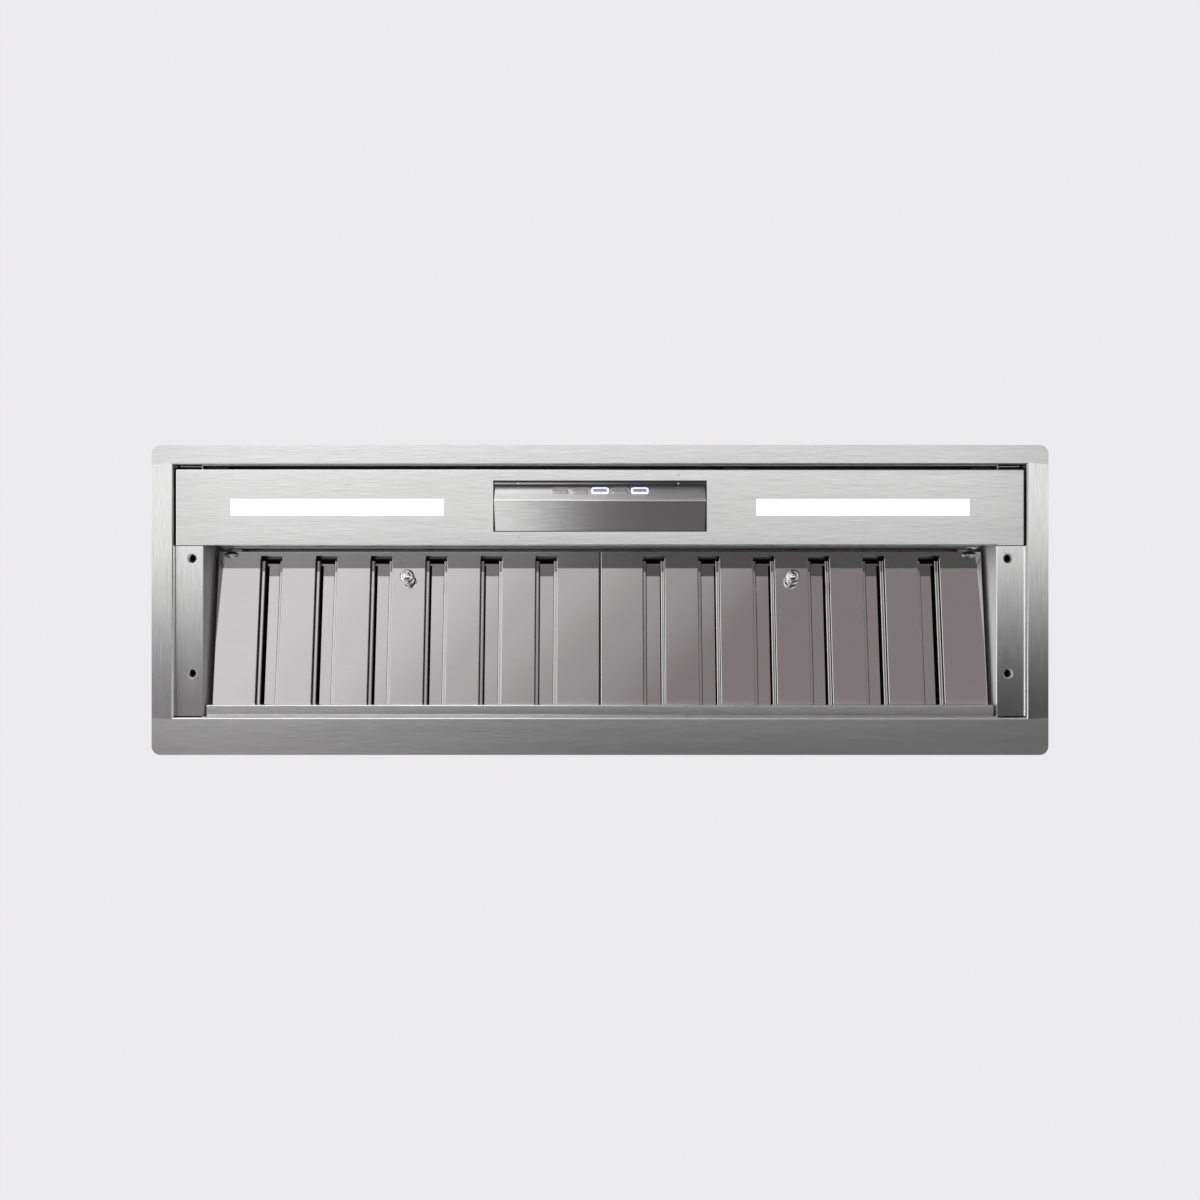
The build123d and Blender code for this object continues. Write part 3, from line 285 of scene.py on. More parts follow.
def flat_map(bm, brush="X"):
    """A UV map in metres whose U follows the brushing."""
    layer = bm.loops.layers.uv.new("Brushing")
    for f in bm.faces:
        n = f.normal
        c = f.calc_center_median()
        if brush == "flange":
            side = abs(c.x) > opening_x - 1 and opening_front - 1 < c.y < opening_rear + 1
            way = "Y" if side else "X"
        else:
            way = brush
        for loop in f.loops:
            x, y, z = loop.vert.co * MM
            if way == "X":
                across = y if abs(n.z) >= abs(n.y) else z
                loop[layer].uv = (x, across) if abs(n.x) < 0.9 else (y, z)
            else:
                across = x if abs(n.z) >= abs(n.x) else z
                loop[layer].uv = (y, across) if abs(n.y) < 0.9 else (x, z)


def outline(bm, width, height, radius, place):
    """Edges of a rounded rectangle, without its face."""
    before = set(bm.faces)
    made = bmesh.ops.create_grid(bm, x_segments=1, y_segments=1, size=0.5)
    size = Matrix.Diagonal((width, height, 1.0, 1.0))
    bmesh.ops.transform(bm, matrix=place @ size, verts=made["verts"])
    round_corners(bm, made["verts"], radius, 5)
    own = [f for f in bm.faces if f not in before]
    edges = once(e for f in own for e in f.edges)
    bmesh.ops.delete(bm, geom=own, context="FACES_ONLY")
    return edges


def circle(bm, radius, place):
    made = bmesh.ops.create_circle(bm, cap_ends=False, radius=radius, segments=40, matrix=place)
    ring = set(made["verts"])
    return [e for e in bm.edges if all(v in ring for v in e.verts)]


def open_face(bm, face, loops):
    """Replaces a flat face by one with openings."""
    rim = list(face.edges)
    normal = face.normal.copy()
    bmesh.ops.delete(bm, geom=[face], context="FACES_ONLY")
    bmesh.ops.triangle_fill(
        bm, use_beauty=True, use_dissolve=False, edges=rim + [e for loop in loops for e in loop],
        normal=normal,
    )


def block(bm, low, high):
    """A box between two corners."""
    made = bmesh.ops.create_cube(bm, size=1.0)
    low, high = Vector(low), Vector(high)
    bmesh.ops.scale(bm, vec=high - low, verts=made["verts"])
    bmesh.ops.translate(bm, vec=(low + high) / 2, verts=made["verts"])
    return made["verts"]


def lies(e, test):
    """Whether both ends of an edge pass a test of their place."""
    return all(test(v.co) for v in e.verts)


def edges_of(vertices):
    own = set(vertices)
    joined = once(e for v in vertices for e in v.link_edges)
    return [e for e in joined if all(v in own for v in e.verts)]


def turned(bm, profile, place=Matrix.Identity(4), steps=48):
    """A turned part from a profile of (radius, height) points."""
    line = [bm.verts.new((r, 0.0, h)) for r, h in profile]
    edges = [bm.edges.new(pair) for pair in zip(line, line[1:])]
    bmesh.ops.spin(
        bm, geom=line + edges, cent=(0, 0, 0), axis=(0, 0, 1), angle=2 * pi, steps=steps,
        use_merge=True, use_normal_flip=False, use_duplicate=False,
    )
    own = dict.fromkeys(line)
    todo = list(own)
    while todo:
        v = todo.pop()
        for e in v.link_edges:
            w = e.other_vert(v)
            if w not in own:
                own[w] = None
                todo.append(w)
    bmesh.ops.remove_doubles(bm, verts=list(own), dist=0.0005)
    own = [v for v in own if v.is_valid]
    faces = once(f for v in own for f in v.link_faces)
    bmesh.ops.recalc_face_normals(bm, faces=faces)
    bmesh.ops.transform(bm, matrix=place, verts=own)
    return own


def arc(middle_r, middle_h, radius, start, end, steps=4):
    """Points of a small arc for a turned profile, angles in degrees from the radius outwards."""
    angles = [radians(start + (end - start) * i / steps) for i in range(steps + 1)]
    return [(middle_r + radius * cos(a), middle_h + radius * sin(a)) for a in angles]


def filter_matrix(side):
    """The filter's own axes: X along, Y down to the rear, Z up through the filter."""
    s, c = sin(filter_slope), cos(filter_slope)
    turn = Matrix(((1, 0, 0, 0), (0, c, s, 0), (0, -s, c, 0), (0, 0, 0, 1)))
    return Matrix.Translation((side * filter_middle, pivot.y, pivot.z)) @ turn


def button_matrix():
    """Axes on the steep face of the control unit, at the middle of the row of buttons."""
    length = hypot(ridge_y - toe_y, ridge_depth)
    dy, dz = (ridge_y - toe_y) / length, -ridge_depth / length
    turn = Matrix(((1, 0, 0, 0), (0, -dy, dz, 0), (0, -dz, -dy, 0), (0, 0, 0, 1)))
    middle = Vector((0, toe_y + button_row * dy, face_z + button_row * dz))
    return Matrix.Translation(middle) @ turn


def button_spot(number, stand=0.0):
    """Axes of one button, counted from 0, standing off the steep face."""
    return button_matrix() @ Matrix.Translation(((number - 2) * button_pitch, 0, stand))


# ---------------------------------------------------------------- finishes

def start(name):
    material = bpy.data.materials.new(name)
    material.use_nodes = True
    return material, material.node_tree, material.node_tree.nodes["Principled BSDF"]


def node(tree, kind, inputs, **settings):
    """Adds a node whose inputs are given as values or as the outputs that feed them."""
    made = tree.nodes.new("ShaderNode" + kind)
    for name, value in settings.items():
        setattr(made, name, value)
    for socket, value in inputs.items():
        if isinstance(value, bpy.types.NodeSocket):
            tree.links.new(value, made.inputs[socket])
        else:
            made.inputs[socket].default_value = value
    return made


def place_of(tree, source):
    """The place on the object or on its brushing map."""
    return node(tree, "TexCoord", {}).outputs[source]


def noise(tree, source, scale, size=1.0, detail=3.0, uneven=0.5):
    """A noise pattern over the object's own place or its brushing map, stretched by scale."""
    mapping = node(tree, "Mapping", {"Vector": place_of(tree, source), "Scale": scale})
    pattern = node(tree, "TexNoise", {
        "Vector": mapping.outputs["Vector"], "Scale": size, "Detail": detail, "Roughness": uneven,
    })
    return pattern.outputs["Fac"]


def even_noise(tree, size, detail):
    """A noise pattern that isn't stretched."""
    return noise(tree, "Object", (1, 1, 1), size=size, detail=detail)


def spangle(tree, size):
    """Crystals of zinc."""
    pattern = node(tree, "TexVoronoi", {"Vector": place_of(tree, "Object"), "Scale": size})
    return node(tree, "RGBToBW", {"Color": pattern.outputs["Color"]}).outputs["Val"]


def spread(tree, value, low, high, target):
    """Feeds a pattern to a socket, spread between two values."""
    spreader = node(tree, "MapRange", {"Value": value, "To Min": low, "To Max": high})
    tree.links.new(spreader.outputs["Result"], target)


def tint(tree, value, colour, depth, target):
    """Feeds a colour that a pattern darkens and lightens a little."""
    mixer = node(tree, "Mix", {
        "Factor": value,
        "A": (*[c * (1 - depth) for c in colour], 1),
        "B": (*[min(1, c * (1 + depth)) for c in colour], 1),
    }, data_type="RGBA")
    tree.links.new(mixer.outputs["Result"], target)


def relief(tree, value, height, shader, strength=1.0):
    bump = node(tree, "Bump", {"Height": value, "Strength": strength, "Distance": height})
    tree.links.new(bump.outputs["Normal"], shader.inputs["Normal"])


def brushed(name, colour, rough, source="UV", line=(14.0, 2600.0, 2600.0)):
    """Steel brushed in one direction, with fine lines of uneven length."""
    material, tree, shader = start(name)
    shader.inputs["Metallic"].default_value = 0.94
    lines = noise(tree, source, line, detail=5.0, uneven=0.65)
    strokes = noise(tree, source, (38.0, 1500.0, 1500.0), detail=2.0, uneven=0.6)
    broad = noise(tree, source, (2.0, 90.0, 90.0), detail=2.0)
    both = node(tree, "Math", {0: strokes, 1: 1.2, 2: lines}, operation="MULTIPLY_ADD")
    level = node(tree, "MapRange", {"Value": both.outputs["Value"], "From Min": 0.6, "From Max": 1.6})
    tint(tree, level.outputs["Result"], colour, 0.2, shader.inputs["Base Color"])
    spread(tree, broad, rough * 0.88, rough * 1.14, shader.inputs["Roughness"])
    relief(tree, lines, 0.000012, shader, 0.6)
    if source == "UV":
        shader.inputs["Anisotropic"].default_value = 0.7
        shader.inputs["Anisotropic Rotation"].default_value = 0.25
        tangent = node(tree, "Tangent", {}, direction_type="UV_MAP", uv_map="Brushing")
        tree.links.new(tangent.outputs["Tangent"], shader.inputs["Tangent"])
    return material


def polished(name, colour, rough, wave=0.0, smear=0.5):
    """Bright steel with faint rolling marks and a trace of handling."""
    material, tree, shader = start(name)
    shader.inputs["Metallic"].default_value = 1.0
    marks = noise(tree, "Object", (9.0, 260.0, 260.0), detail=3.0)
    cloud = even_noise(tree, 14.0, 4.0)
    tint(tree, marks, colour, 0.018, shader.inputs["Base Color"])
    spread(tree, cloud, rough * (1 - smear), rough * (1 + smear), shader.inputs["Roughness"])
    if wave:
        relief(tree, even_noise(tree, 30.0, 1.0), wave, shader)
    return material


def galvanised(name, colour):
    """Zinc plated sheet with its crystals."""
    material, tree, shader = start(name)
    shader.inputs["Metallic"].default_value = 0.92
    grain = spangle(tree, 130.0)
    cloud = even_noise(tree, 9.0, 5.0)
    rough = 0.42
    tint(tree, grain, colour, 0.09, shader.inputs["Base Color"])
    spread(tree, cloud, rough * 0.75, rough * 1.25, shader.inputs["Roughness"])
    relief(tree, grain, 0.00002, shader, 0.3)
    return material


def cast_or_moulded(name, colour, rough, grain=900.0, height=0.00004, metal=0.0, shine=0.5):
    """A fine even grain, for moulded plastic, cast metal, near-black steel that stands in for shade,
    and sleeves.
    """
    material, tree, shader = start(name)
    shader.inputs["Metallic"].default_value = metal
    shader.inputs["Specular IOR Level"].default_value = shine
    fine = even_noise(tree, grain, 2.0)
    cloud = even_noise(tree, 22.0, 3.0)
    tint(tree, cloud, colour, 0.06, shader.inputs["Base Color"])
    spread(tree, fine, rough * 0.85, rough * 1.15, shader.inputs["Roughness"])
    relief(tree, fine, height, shader, 0.5)
    return material


def opal(name, colour, strength):
    """A lit diffuser, faintly uneven."""
    material, tree, shader = start(name)
    shader.inputs["Roughness"].default_value = 0.35
    shader.inputs["Base Color"].default_value = (0.9, 0.9, 0.88, 1)
    tint(tree, even_noise(tree, 18.0, 2.0), colour, 0.015, shader.inputs["Emission Color"])
    shader.inputs["Emission Strength"].default_value = strength
    return material


def circuit(name):
    """Green board with faint tracks."""
    material, tree, shader = start(name)
    shader.inputs["Roughness"].default_value = 0.4
    tracks = even_noise(tree, 420.0, 0.0)
    tint(tree, tracks, (0.03, 0.16, 0.07), 0.5, shader.inputs["Base Color"])
    relief(tree, tracks, 0.00005, shader, 0.4)
    return material


finish = {}                 # the finishes, under the names of the slots or their own


class HOOD_OT_finishes(bpy.types.Operator):
    """Makes the finishes and gives each solid its own"""

    bl_idname = "hood.finishes"
    bl_label = "Finishes"

    def execute(self, context):
        look = context.scene.hood_finishes
        steel = tuple(look.steel)
        finish["brushed"] = brushed("brushed steel", steel, look.steel_gloss)
        finish["brushed_steel"] = brushed(
            "brushed steel casing", steel, look.steel_gloss + 0.04, source="Object",
            line=(14.0, 1900.0, 1900.0),
        )
        finish["polished_steel"] = polished("polished steel", tuple(look.mirror), 0.035, wave=0.00001)
        finish["brushed_wall"] = brushed("brushed steel walls", steel, look.steel_gloss * 2.2)
        # Painted shade: near-black steel for slot legs, hem slopes, the filters' top side and the
        # catches' front halves, where only shade falls.
        finish["unpolished"] = cast_or_moulded(
            "unpolished steel in shade", (0.035, 0.034, 0.034), 0.7, height=0.00001, shine=0.08,
        )
        # Painted shade: dark brushed steel for the sill, standing in for the shade of the gap it sits
        # in.
        finish["sill"] = brushed("brushed steel in shade", (0.2, 0.19, 0.19), 0.16)
        finish["filter_steel"] = polished("satin filter steel", (0.5, 0.49, 0.49), 0.2, smear=0.3)
        finish["chrome"] = polished("chrome", (0.78, 0.78, 0.79), 0.03)
        finish["catch"] = polished("catch steel", (0.5, 0.49, 0.49), 0.12)
        finish["spring_steel"] = polished("spring steel", (0.36, 0.36, 0.38), 0.25, smear=0.3)
        finish["galvanised_steel"] = galvanised("galvanised sheet", tuple(look.zinc))
        finish["zinc_fastener"] = cast_or_moulded(
            "zinc plated screws", (0.66, 0.66, 0.64), 0.3, grain=600.0, metal=1.0,
        )
        finish["opal_diffuser"] = opal("lit opal strip", tuple(look.strip), look.strip_power)
        finish["ring_on"] = opal("lit button ring", tuple(look.lit_ring), 2.6)
        finish["button_ring"] = cast_or_moulded(
            "unlit button ring", (0.75, 0.72, 0.72), 0.2, metal=0.6, height=0.00001,
        )
        finish["button_face"] = cast_or_moulded(
            "button face", (0.46, 0.42, 0.42), 0.34, metal=0.75, height=0.00001,
        )
        # Painted light: the faces of the lit buttons are tinted blue to stand in for the glow of their
        # rings.
        finish["button_on"] = cast_or_moulded(
            "button face, painted glow of its lit ring", (0.5, 0.49, 0.62), 0.34, metal=0.6, height=0.00001,
        )
        finish["circuit_board"] = circuit("circuit board")
        finish["motor_casting"] = cast_or_moulded(
            "cast motor casing", (0.32, 0.32, 0.33), 0.5, grain=500.0, height=0.0002, metal=0.7,
        )
        finish["black_plastic"] = cast_or_moulded("black moulded plastic", (0.025, 0.025, 0.027), 0.45)
        finish["capacitor_sleeve"] = cast_or_moulded("capacitor sleeve", (0.72, 0.72, 0.7), 0.3)
        finish["cable_jacket"] = cast_or_moulded("cable jacket", (0.035, 0.035, 0.035), 0.55)
        # Painted shade: near-black steel for the panel brackets and the channel lids, so the gaps they
        # show through look shaded.
        finish["painted_black_shade"] = cast_or_moulded(
            "black steel, painted shade in gaps", (0.02, 0.02, 0.021), 0.5, height=0.00001, metal=0.3,
        )
        # The panel brackets take the painted-shade black.
        by_node = {
            "panel_brackets": "painted_black_shade", "catch_rail": "polished_steel",
            "filter_baffles_left": "polished_steel", "filter_baffles_right": "polished_steel",
            "filter_frame_left": "spring_steel", "filter_frame_right": "spring_steel",
        }
        for part in frame["record"]["subparts"]:
            own = by_node.get(part["node"], part["material_slot"])
            for entry in nodes[part["node"]].material_slots:
                entry.material = finish[own]
        return {"FINISHED"}


# ---------------------------------------------------------------- pieces

class HOOD_OT_flange(bpy.types.Operator):
    """The brushed flange with its folded upstand"""

    bl_idname = "hood.flange"
    bl_label = "Flange"

    def execute(self, context):
        bends = context.scene.hood_bends
        low, high = box_of("flange_frame")
        xs = [low.x, -opening_x, opening_x, high.x]
        ys = [low.y, opening_front, opening_rear, high.y]
        bm = bmesh.new()
        vertices = lattice(bm, xs, ys, face_z)
        middle = min(bm.faces, key=lambda f: f.calc_center_median().length)
        inner = list(middle.edges)
        bmesh.ops.delete(bm, geom=[middle], context="FACES_ONLY")
        corners = [
            v for v in vertices
            if v.is_valid and abs(v.co.x) > high.x - 1 and v.co.y in (ys[0], ys[3])
        ]
        round_corners(bm, corners, flange_corner, 10)
        pull(bm, inner, (0, 0, high.z - face_z))
        round_edges(bm, inner, bends.fold, 5)
        face_out(bm, (0, low.y, face_z), (0, 0, -1))
        flat_map(bm, "flange")
        new_piece("flange", bm, finish["brushed"], replaced=["flange_frame"],
                  sheet_of=sheet, edge=bends.edge * 2)
        return {"FINISHED"}


class HOOD_OT_light_panel(bpy.types.Operator):
    """The front panel with its windows, lips and weld marks"""

    bl_idname = "hood.light_panel"
    bl_label = "Light panel"

    def execute(self, context):
        bends = context.scene.hood_bends
        low, high = box_of("light_panel")
        lit_low, lit_high = box_of("led_diffuser_right")
        half, front, rear = high.x, low.y, high.y
        window_gap_x, window_gap_y = 3.6, 3.4
        strip_in, strip_out = lit_low.x + window_gap_x, lit_high.x - window_gap_x
        strip_front, strip_rear = lit_low.y + window_gap_y, lit_high.y - window_gap_y
        cut_x, cut_front, cut_rear = 103.4, front + 10.7, front + 60.3
        lip_half = 384.2
        rim_depth = 4.8
        marks_x, marks_y = (-78.9, 76.0), (-136.7, -128.0, -76.8)
        studs_x = (-372, -130, 130, 372)
        stud_y, stud_radius, stud_length = front + 9.2, 2.0, 9.0
        right = [cut_x, strip_in, strip_out, lip_half, half]
        xs = [-x for x in reversed(right)] + right
        ys = [front, cut_front, strip_front, strip_rear, cut_rear, rear]
        bm = bmesh.new()
        lattice(bm, xs, ys, face_z)
        windows = []
        for f in bm.faces:
            c = f.calc_center_median()
            over_strip = strip_in < abs(c.x) < strip_out and strip_front < c.y < strip_rear
            over_control = abs(c.x) < cut_x and cut_front < c.y < cut_rear
            if over_strip or over_control:
                windows.append(f)
        bmesh.ops.delete(bm, geom=windows, context="FACES")
        edge_of_panel = [e for e in bm.edges if e.is_boundary]

        rim = [
            e for e in edge_of_panel
            if lies(e, lambda c: c.y < front + 0.1) or lies(e, lambda c: abs(c.x) > half - 0.1)
        ]
        back = [
            e for e in edge_of_panel
            if lies(e, lambda c: c.y > rear - 0.1 and abs(c.x) < lip_half + 0.1)
        ]
        pull(bm, rim, (0, 0, rim_depth))
        pull(bm, back, (0, 0, high.z - face_z))
        corners = [
            e for e in bm.edges
            if lies(e, lambda c: abs(c.x) > half - 0.1 and c.y < front + 0.1)
        ]
        round_edges(bm, rim + corners, bends.fold * 0.7, 4)
        round_edges(bm, back, bends.thin_fold * 0.8, 4)
        face_out(bm, (half - 10, front + 30, face_z), (0, 0, -1))
        flat_map(bm, "X")
        new_piece("panel", bm, finish["brushed"], replaced=["light_panel"],
                  sheet_of=sheet, edge=bends.edge)
        marks = bmesh.new()
        for x in marks_x:
            for y in marks_y:
                turned(marks, [(0.9, 0.0), (0.7, -0.08), (0.0, -0.12)],
                       Matrix.Translation((x, y, face_z + 0.02)), steps=16)
        stud = [
            (stud_radius, 0.0), (stud_radius, stud_length - 0.4),
            (stud_radius - 0.4, stud_length), (0.0, stud_length),
        ]
        for x in studs_x:
            turned(marks, stud, Matrix.Translation((x, stud_y, face_z + sheet)), steps=24)
        flat_map(marks, "X")
        new_piece("panel_weld_marks", marks, finish["brushed"])
        return {"FINISHED"}


class HOOD_OT_side_channels(bpy.types.Operator):
    """The recessed side channels with their dimpled fixing holes"""

    bl_idname = "hood.side_channels"
    bl_label = "Side channels"

    def execute(self, context):
        bends = context.scene.hood_bends
        outer, inner, web = opening_x - 1.0, 384.7, -4.0
        outer_edge = -8.6
        hole_x, hole_y = 396.0, 55.75
        dimple_radius, dimple_depth, hole_share = 4.6, 3.0, 0.565
        lid_in, lid_out, lid_low, lid_top = 386.6, opening_x - 0.1, 13.0, 19.0
        for side, hand in hands:
            low, high = box_of(f"side_channel_{hand}")
            bm = bmesh.new()
            points = [
                (side * outer, outer_edge), (side * outer, web),
                (side * inner, web), (side * inner, high.z),
            ]
            folds = strip(bm, points, low.y, high.y, along="Y")
            round_edges(bm, folds, bends.thin_fold, 4)
            flat = max(bm.faces, key=lambda f: abs(f.normal.z) * f.calc_area())
            loops = []
            for y in (-hole_y, hole_y):
                loops.append(circle(bm, dimple_radius, Matrix.Translation((side * hole_x, y, web))))
            bm.normal_update()
            open_face(bm, flat, loops)
            for loop in loops:
                middle = sum((v.co for e in loop for v in e.verts), Vector()) / (2 * len(loop))
                hole = pull(bm, loop, (0, 0, dimple_depth))
                ring = once(v for e in hole for v in e.verts)
                bmesh.ops.scale(bm, vec=(hole_share, hole_share, 1), verts=ring,
                                space=Matrix.Translation(-middle))
                round_edges(bm, loop, 0.35, 3)
            face_out(bm, (side * 398, 0, web), (0, 0, -1))
            for f in bm.faces:
                if abs(f.normal.x) > 0.95 and abs(f.calc_center_median().x) < inner + 1:
                    f.material_index = 1
            flat_map(bm, "Y")
            new_piece(f"channel_{hand}", bm, finish["brushed"],
                      replaced=[f"side_channel_{hand}"],
                      sheet_of=thin_sheet, edge=bends.edge, second=finish["brushed_wall"])
            # Painted shade: a near-black lid beside the channel, so the gap in front of it reads as
            # shade.
            lid = bmesh.new()
            points = [
                (side * lid_in, lid_low), (side * lid_in, lid_top),
                (side * lid_out, lid_top), (side * lid_out, lid_low),
            ]
            folds = strip(lid, points, opening_front + 0.2, opening_rear - 0.2, along="Y")
            round_edges(lid, folds, bends.thin_fold, 3)
            face_out(lid, (side * 400, 0, lid_top), (0, 0, 1))
            new_piece(f"channel_lid_{hand}", lid, finish["painted_black_shade"],
                      sheet_of=filter_sheet)
        return {"FINISHED"}


class HOOD_OT_rail(bpy.types.Operator):
    """The polished rail above the front edge of the filters"""

    bl_idname = "hood.rail"
    bl_label = "Filter rail"

    def execute(self, context):
        bends = context.scene.hood_bends
        low, high = box_of("catch_rail")
        tilt = 0.045
        bm = bmesh.new()
        points = [(low.y, high.z), (low.y, low.z), (high.y, low.z + tilt)]
        folds = strip(bm, points, low.x, high.x)
        round_edges(bm, folds, bends.edge * 2, 2)
        face_out(bm, (0, (low.y + high.y) / 2, low.z), (0, 0, -1))
        new_piece("filter_rail", bm, finish["chrome"], replaced=["catch_rail"],
                  sheet_of=filter_sheet)
        return {"FINISHED"}


class HOOD_OT_gutter(bpy.types.Operator):
    """The grease gutter behind the filters"""

    bl_idname = "hood.gutter"
    bl_label = "Grease gutter"

    def execute(self, context):
        bends = context.scene.hood_bends
        low, high = box_of("grease_gutter")
        front, rear, lip_rear = low.y, 96.0, 98.2
        front_lip, rear_lip, end_height = 9.0, -3.4, 9.0
        points = [
            (front, front_lip), (front, low.z), (rear, low.z),
            (rear, rear_lip), (lip_rear, rear_lip), (lip_rear, high.z),
        ]
        bm = bmesh.new()
        folds = strip(bm, points, low.x, high.x)
        round_edges(bm, folds, bends.thin_fold, 4)
        face_out(bm, (0, (front + rear) / 2, low.z), (0, 0, -1))
        flat_map(bm, "X")
        new_piece("gutter", bm, finish["brushed"], replaced=["grease_gutter"],
                  sheet_of=thin_sheet, edge=bends.edge)
        ends = bmesh.new()
        for x in (low.x, high.x - thin_sheet):
            plate = block(ends, (x, front + 0.3, low.z + 0.3),
                          (x + thin_sheet, rear - 0.3, low.z + end_height))
            round_edges(ends, edges_of(plate), 0.25, 2)
        flat_map(ends, "Y")
        new_piece("gutter_ends", ends, finish["brushed"])
        return {"FINISHED"}


class HOOD_OT_control_unit(bpy.types.Operator):
    """The wedge that carries the buttons, with the rings round them"""

    bl_idname = "hood.control_unit"
    bl_label = "Control unit"

    def execute(self, context):
        ridge_z = face_z - ridge_depth
        rear_face = (0, (ridge_y + heel_y) / 2, (ridge_z + face_z) / 2)
        bm = bmesh.new()
        points = [(toe_y, face_z), (ridge_y, ridge_z), (heel_y, face_z)]
        ridge = strip(bm, points, -wedge_half, wedge_half)
        round_edges(bm, ridge, 1.5, 5)
        for x in (-wedge_half, wedge_half):
            rim = [e for e in bm.edges if lies(e, lambda c: abs(c.x - x) < near)]
            ends = [v for e in rim for v in e.verts if v.co.z > face_z - near]
            bm.edges.new(sorted(once(ends), key=lambda v: v.co.y))
            rim = [e for e in bm.edges if lies(e, lambda c: abs(c.x - x) < near)]
            bmesh.ops.edgeloop_fill(bm, edges=rim)
        caps = [
            e for e in bm.edges
            if len(e.link_faces) == 2 and lies(e, lambda c: abs(c.x) > wedge_half - near)
        ]
        round_edges(bm, caps, 0.8, 3)
        face_out(bm, rear_face, (0, 1, -1))
        bm.normal_update()
        place = button_matrix()
        steep = min(bm.faces, key=lambda f: (f.calc_center_median() - place.translation).length)
        loops = [outline(bm, *ring_size, button_spot(i)) for i in range(5)]
        open_face(bm, steep, loops)
        inward = place.to_3x3() @ Vector((0, 0, -2.0))
        for loop in loops:
            pull(bm, loop, inward)
        face_out(bm, rear_face, (0, 1, -1))
        flat_map(bm, "X")
        new_piece("control_wedge", bm, finish["brushed"], replaced=["control_housing"])
        self.make_frame()
        for name, lit, numbers in (("button_rings_plain", "button_ring", dark_buttons),
                                   ("button_rings_lit", "ring_on", lit_buttons)):
            rings = bmesh.new()
            for i in numbers:
                spot = button_spot(i, button_stand)
                outer = outline(rings, *ring_size, spot)
                hole = outline(rings, *ring_hole, spot)
                bmesh.ops.bridge_loops(rings, edges=outer + hole)
            walls = bmesh.ops.extrude_face_region(rings, geom=rings.faces[:])
            bmesh.ops.translate(rings, verts=new_vertices(walls), vec=inward * 1.4)
            bmesh.ops.recalc_face_normals(rings, faces=rings.faces)
            new_piece(name, rings, finish[lit], replaced=["button_rings"])
        return {"FINISHED"}

    def make_frame(self):
        """The narrow sill in front of the wedge and the black base behind it."""
        low, high = box_of("control_housing")
        rim = 4.8
        sill = bmesh.new()
        plate = block(sill, (-102.5, low.y + rim - 0.3, face_z + 0.3),
                      (102.5, toe_y - 1.8, face_z + 3.6))
        for v in plate:
            if v.co.y < toe_y - 2 and v.co.z < face_z + 1:
                v.co.z += 1.5
        round_edges(sill, edges_of(plate), 0.25, 3)
        flat_map(sill, "X")
        # The sill wears the painted-shade dark steel.
        new_piece("control_sill", sill, finish["sill"])
        base = bmesh.new()
        plate = block(base, (-101.0, toe_y - 1.5, face_z + 1.6),
                      (101.0, high.y - rim - 0.5, face_z + 3.2))
        round_edges(base, edges_of(plate), 0.5, 3)
        flange = block(base, (low.x, low.y, face_z + sheet + 0.1), (high.x, high.y, face_z + 3.0))
        round_edges(base, edges_of(flange), 0.3, 2)
        new_piece("control_base", base, finish["black_plastic"])


class HOOD_OT_buttons(bpy.types.Operator):
    """The five push buttons with their stops and stems"""

    bl_idname = "hood.buttons"
    bl_label = "Buttons"

    def execute(self, context):
        soft = context.scene.hood_bends.button_edge
        foot, stem_end = -4.0, -7.0
        for i in range(5):
            bm = bmesh.new()
            loop = outline(bm, *cap_size, Matrix.Translation((0, 0, foot)))
            made = bmesh.ops.edgeloop_fill(bm, edges=loop)
            top = bmesh.ops.extrude_face_region(bm, geom=made["faces"])
            bmesh.ops.translate(bm, verts=new_vertices(top), vec=(0, 0, button_stand - foot))
            rim = [e for e in bm.edges if lies(e, lambda c: c.z > 0.5)]
            bmesh.ops.holes_fill(bm, edges=[e for e in bm.edges if e.is_boundary])
            round_edges(bm, rim, soft, 4)
            stop = block(bm, (-8.1, -5.7, -3.8), (8.1, 5.7, -2.6))
            round_edges(bm, edges_of(stop), 0.3, 2)
            stem = [(0.0, foot), (2.0, foot), (2.0, stem_end + 0.3), (1.7, stem_end), (0.0, stem_end)]
            turned(bm, stem, steps=24)
            bmesh.ops.recalc_face_normals(bm, faces=bm.faces)
            bmesh.ops.transform(bm, matrix=button_spot(i), verts=bm.verts)
            # Painted light: the lit buttons get the blue-tinted face for their rings' glow.
            look = finish["button_on"] if i in lit_buttons else finish["button_face"]
            new_piece(f"push_{i + 1}", bm, look, body=f"button_{i + 1}_cap",
                      replaced=[f"button_{i + 1}"])
        return {"FINISHED"}


class HOOD_OT_strips(bpy.types.Operator):
    """The two lit opal strips"""

    bl_idname = "hood.strips"
    bl_label = "Light strips"

    def execute(self, context):
        gap_x, gap_y = 3.9, 3.7
        for hand in ("left", "right"):
            low, high = box_of(f"led_diffuser_{hand}")
            bm = bmesh.new()
            lens = block(bm, (low.x + gap_x, low.y + gap_y, face_z),
                         (high.x - gap_x, high.y - gap_y, face_z + sheet))
            shown = [e for e in edges_of(lens) if lies(e, lambda c: c.z < face_z + 0.1)]
            round_edges(bm, shown, 0.25, 2)
            rim = block(bm, (low.x, low.y, face_z + sheet), (high.x, high.y, high.z))
            round_edges(bm, edges_of(rim), 0.3, 2)
            new_piece(f"lit_strip_{hand}", bm, finish["opal_diffuser"],
                      replaced=[f"led_diffuser_{hand}"])
        return {"FINISHED"}


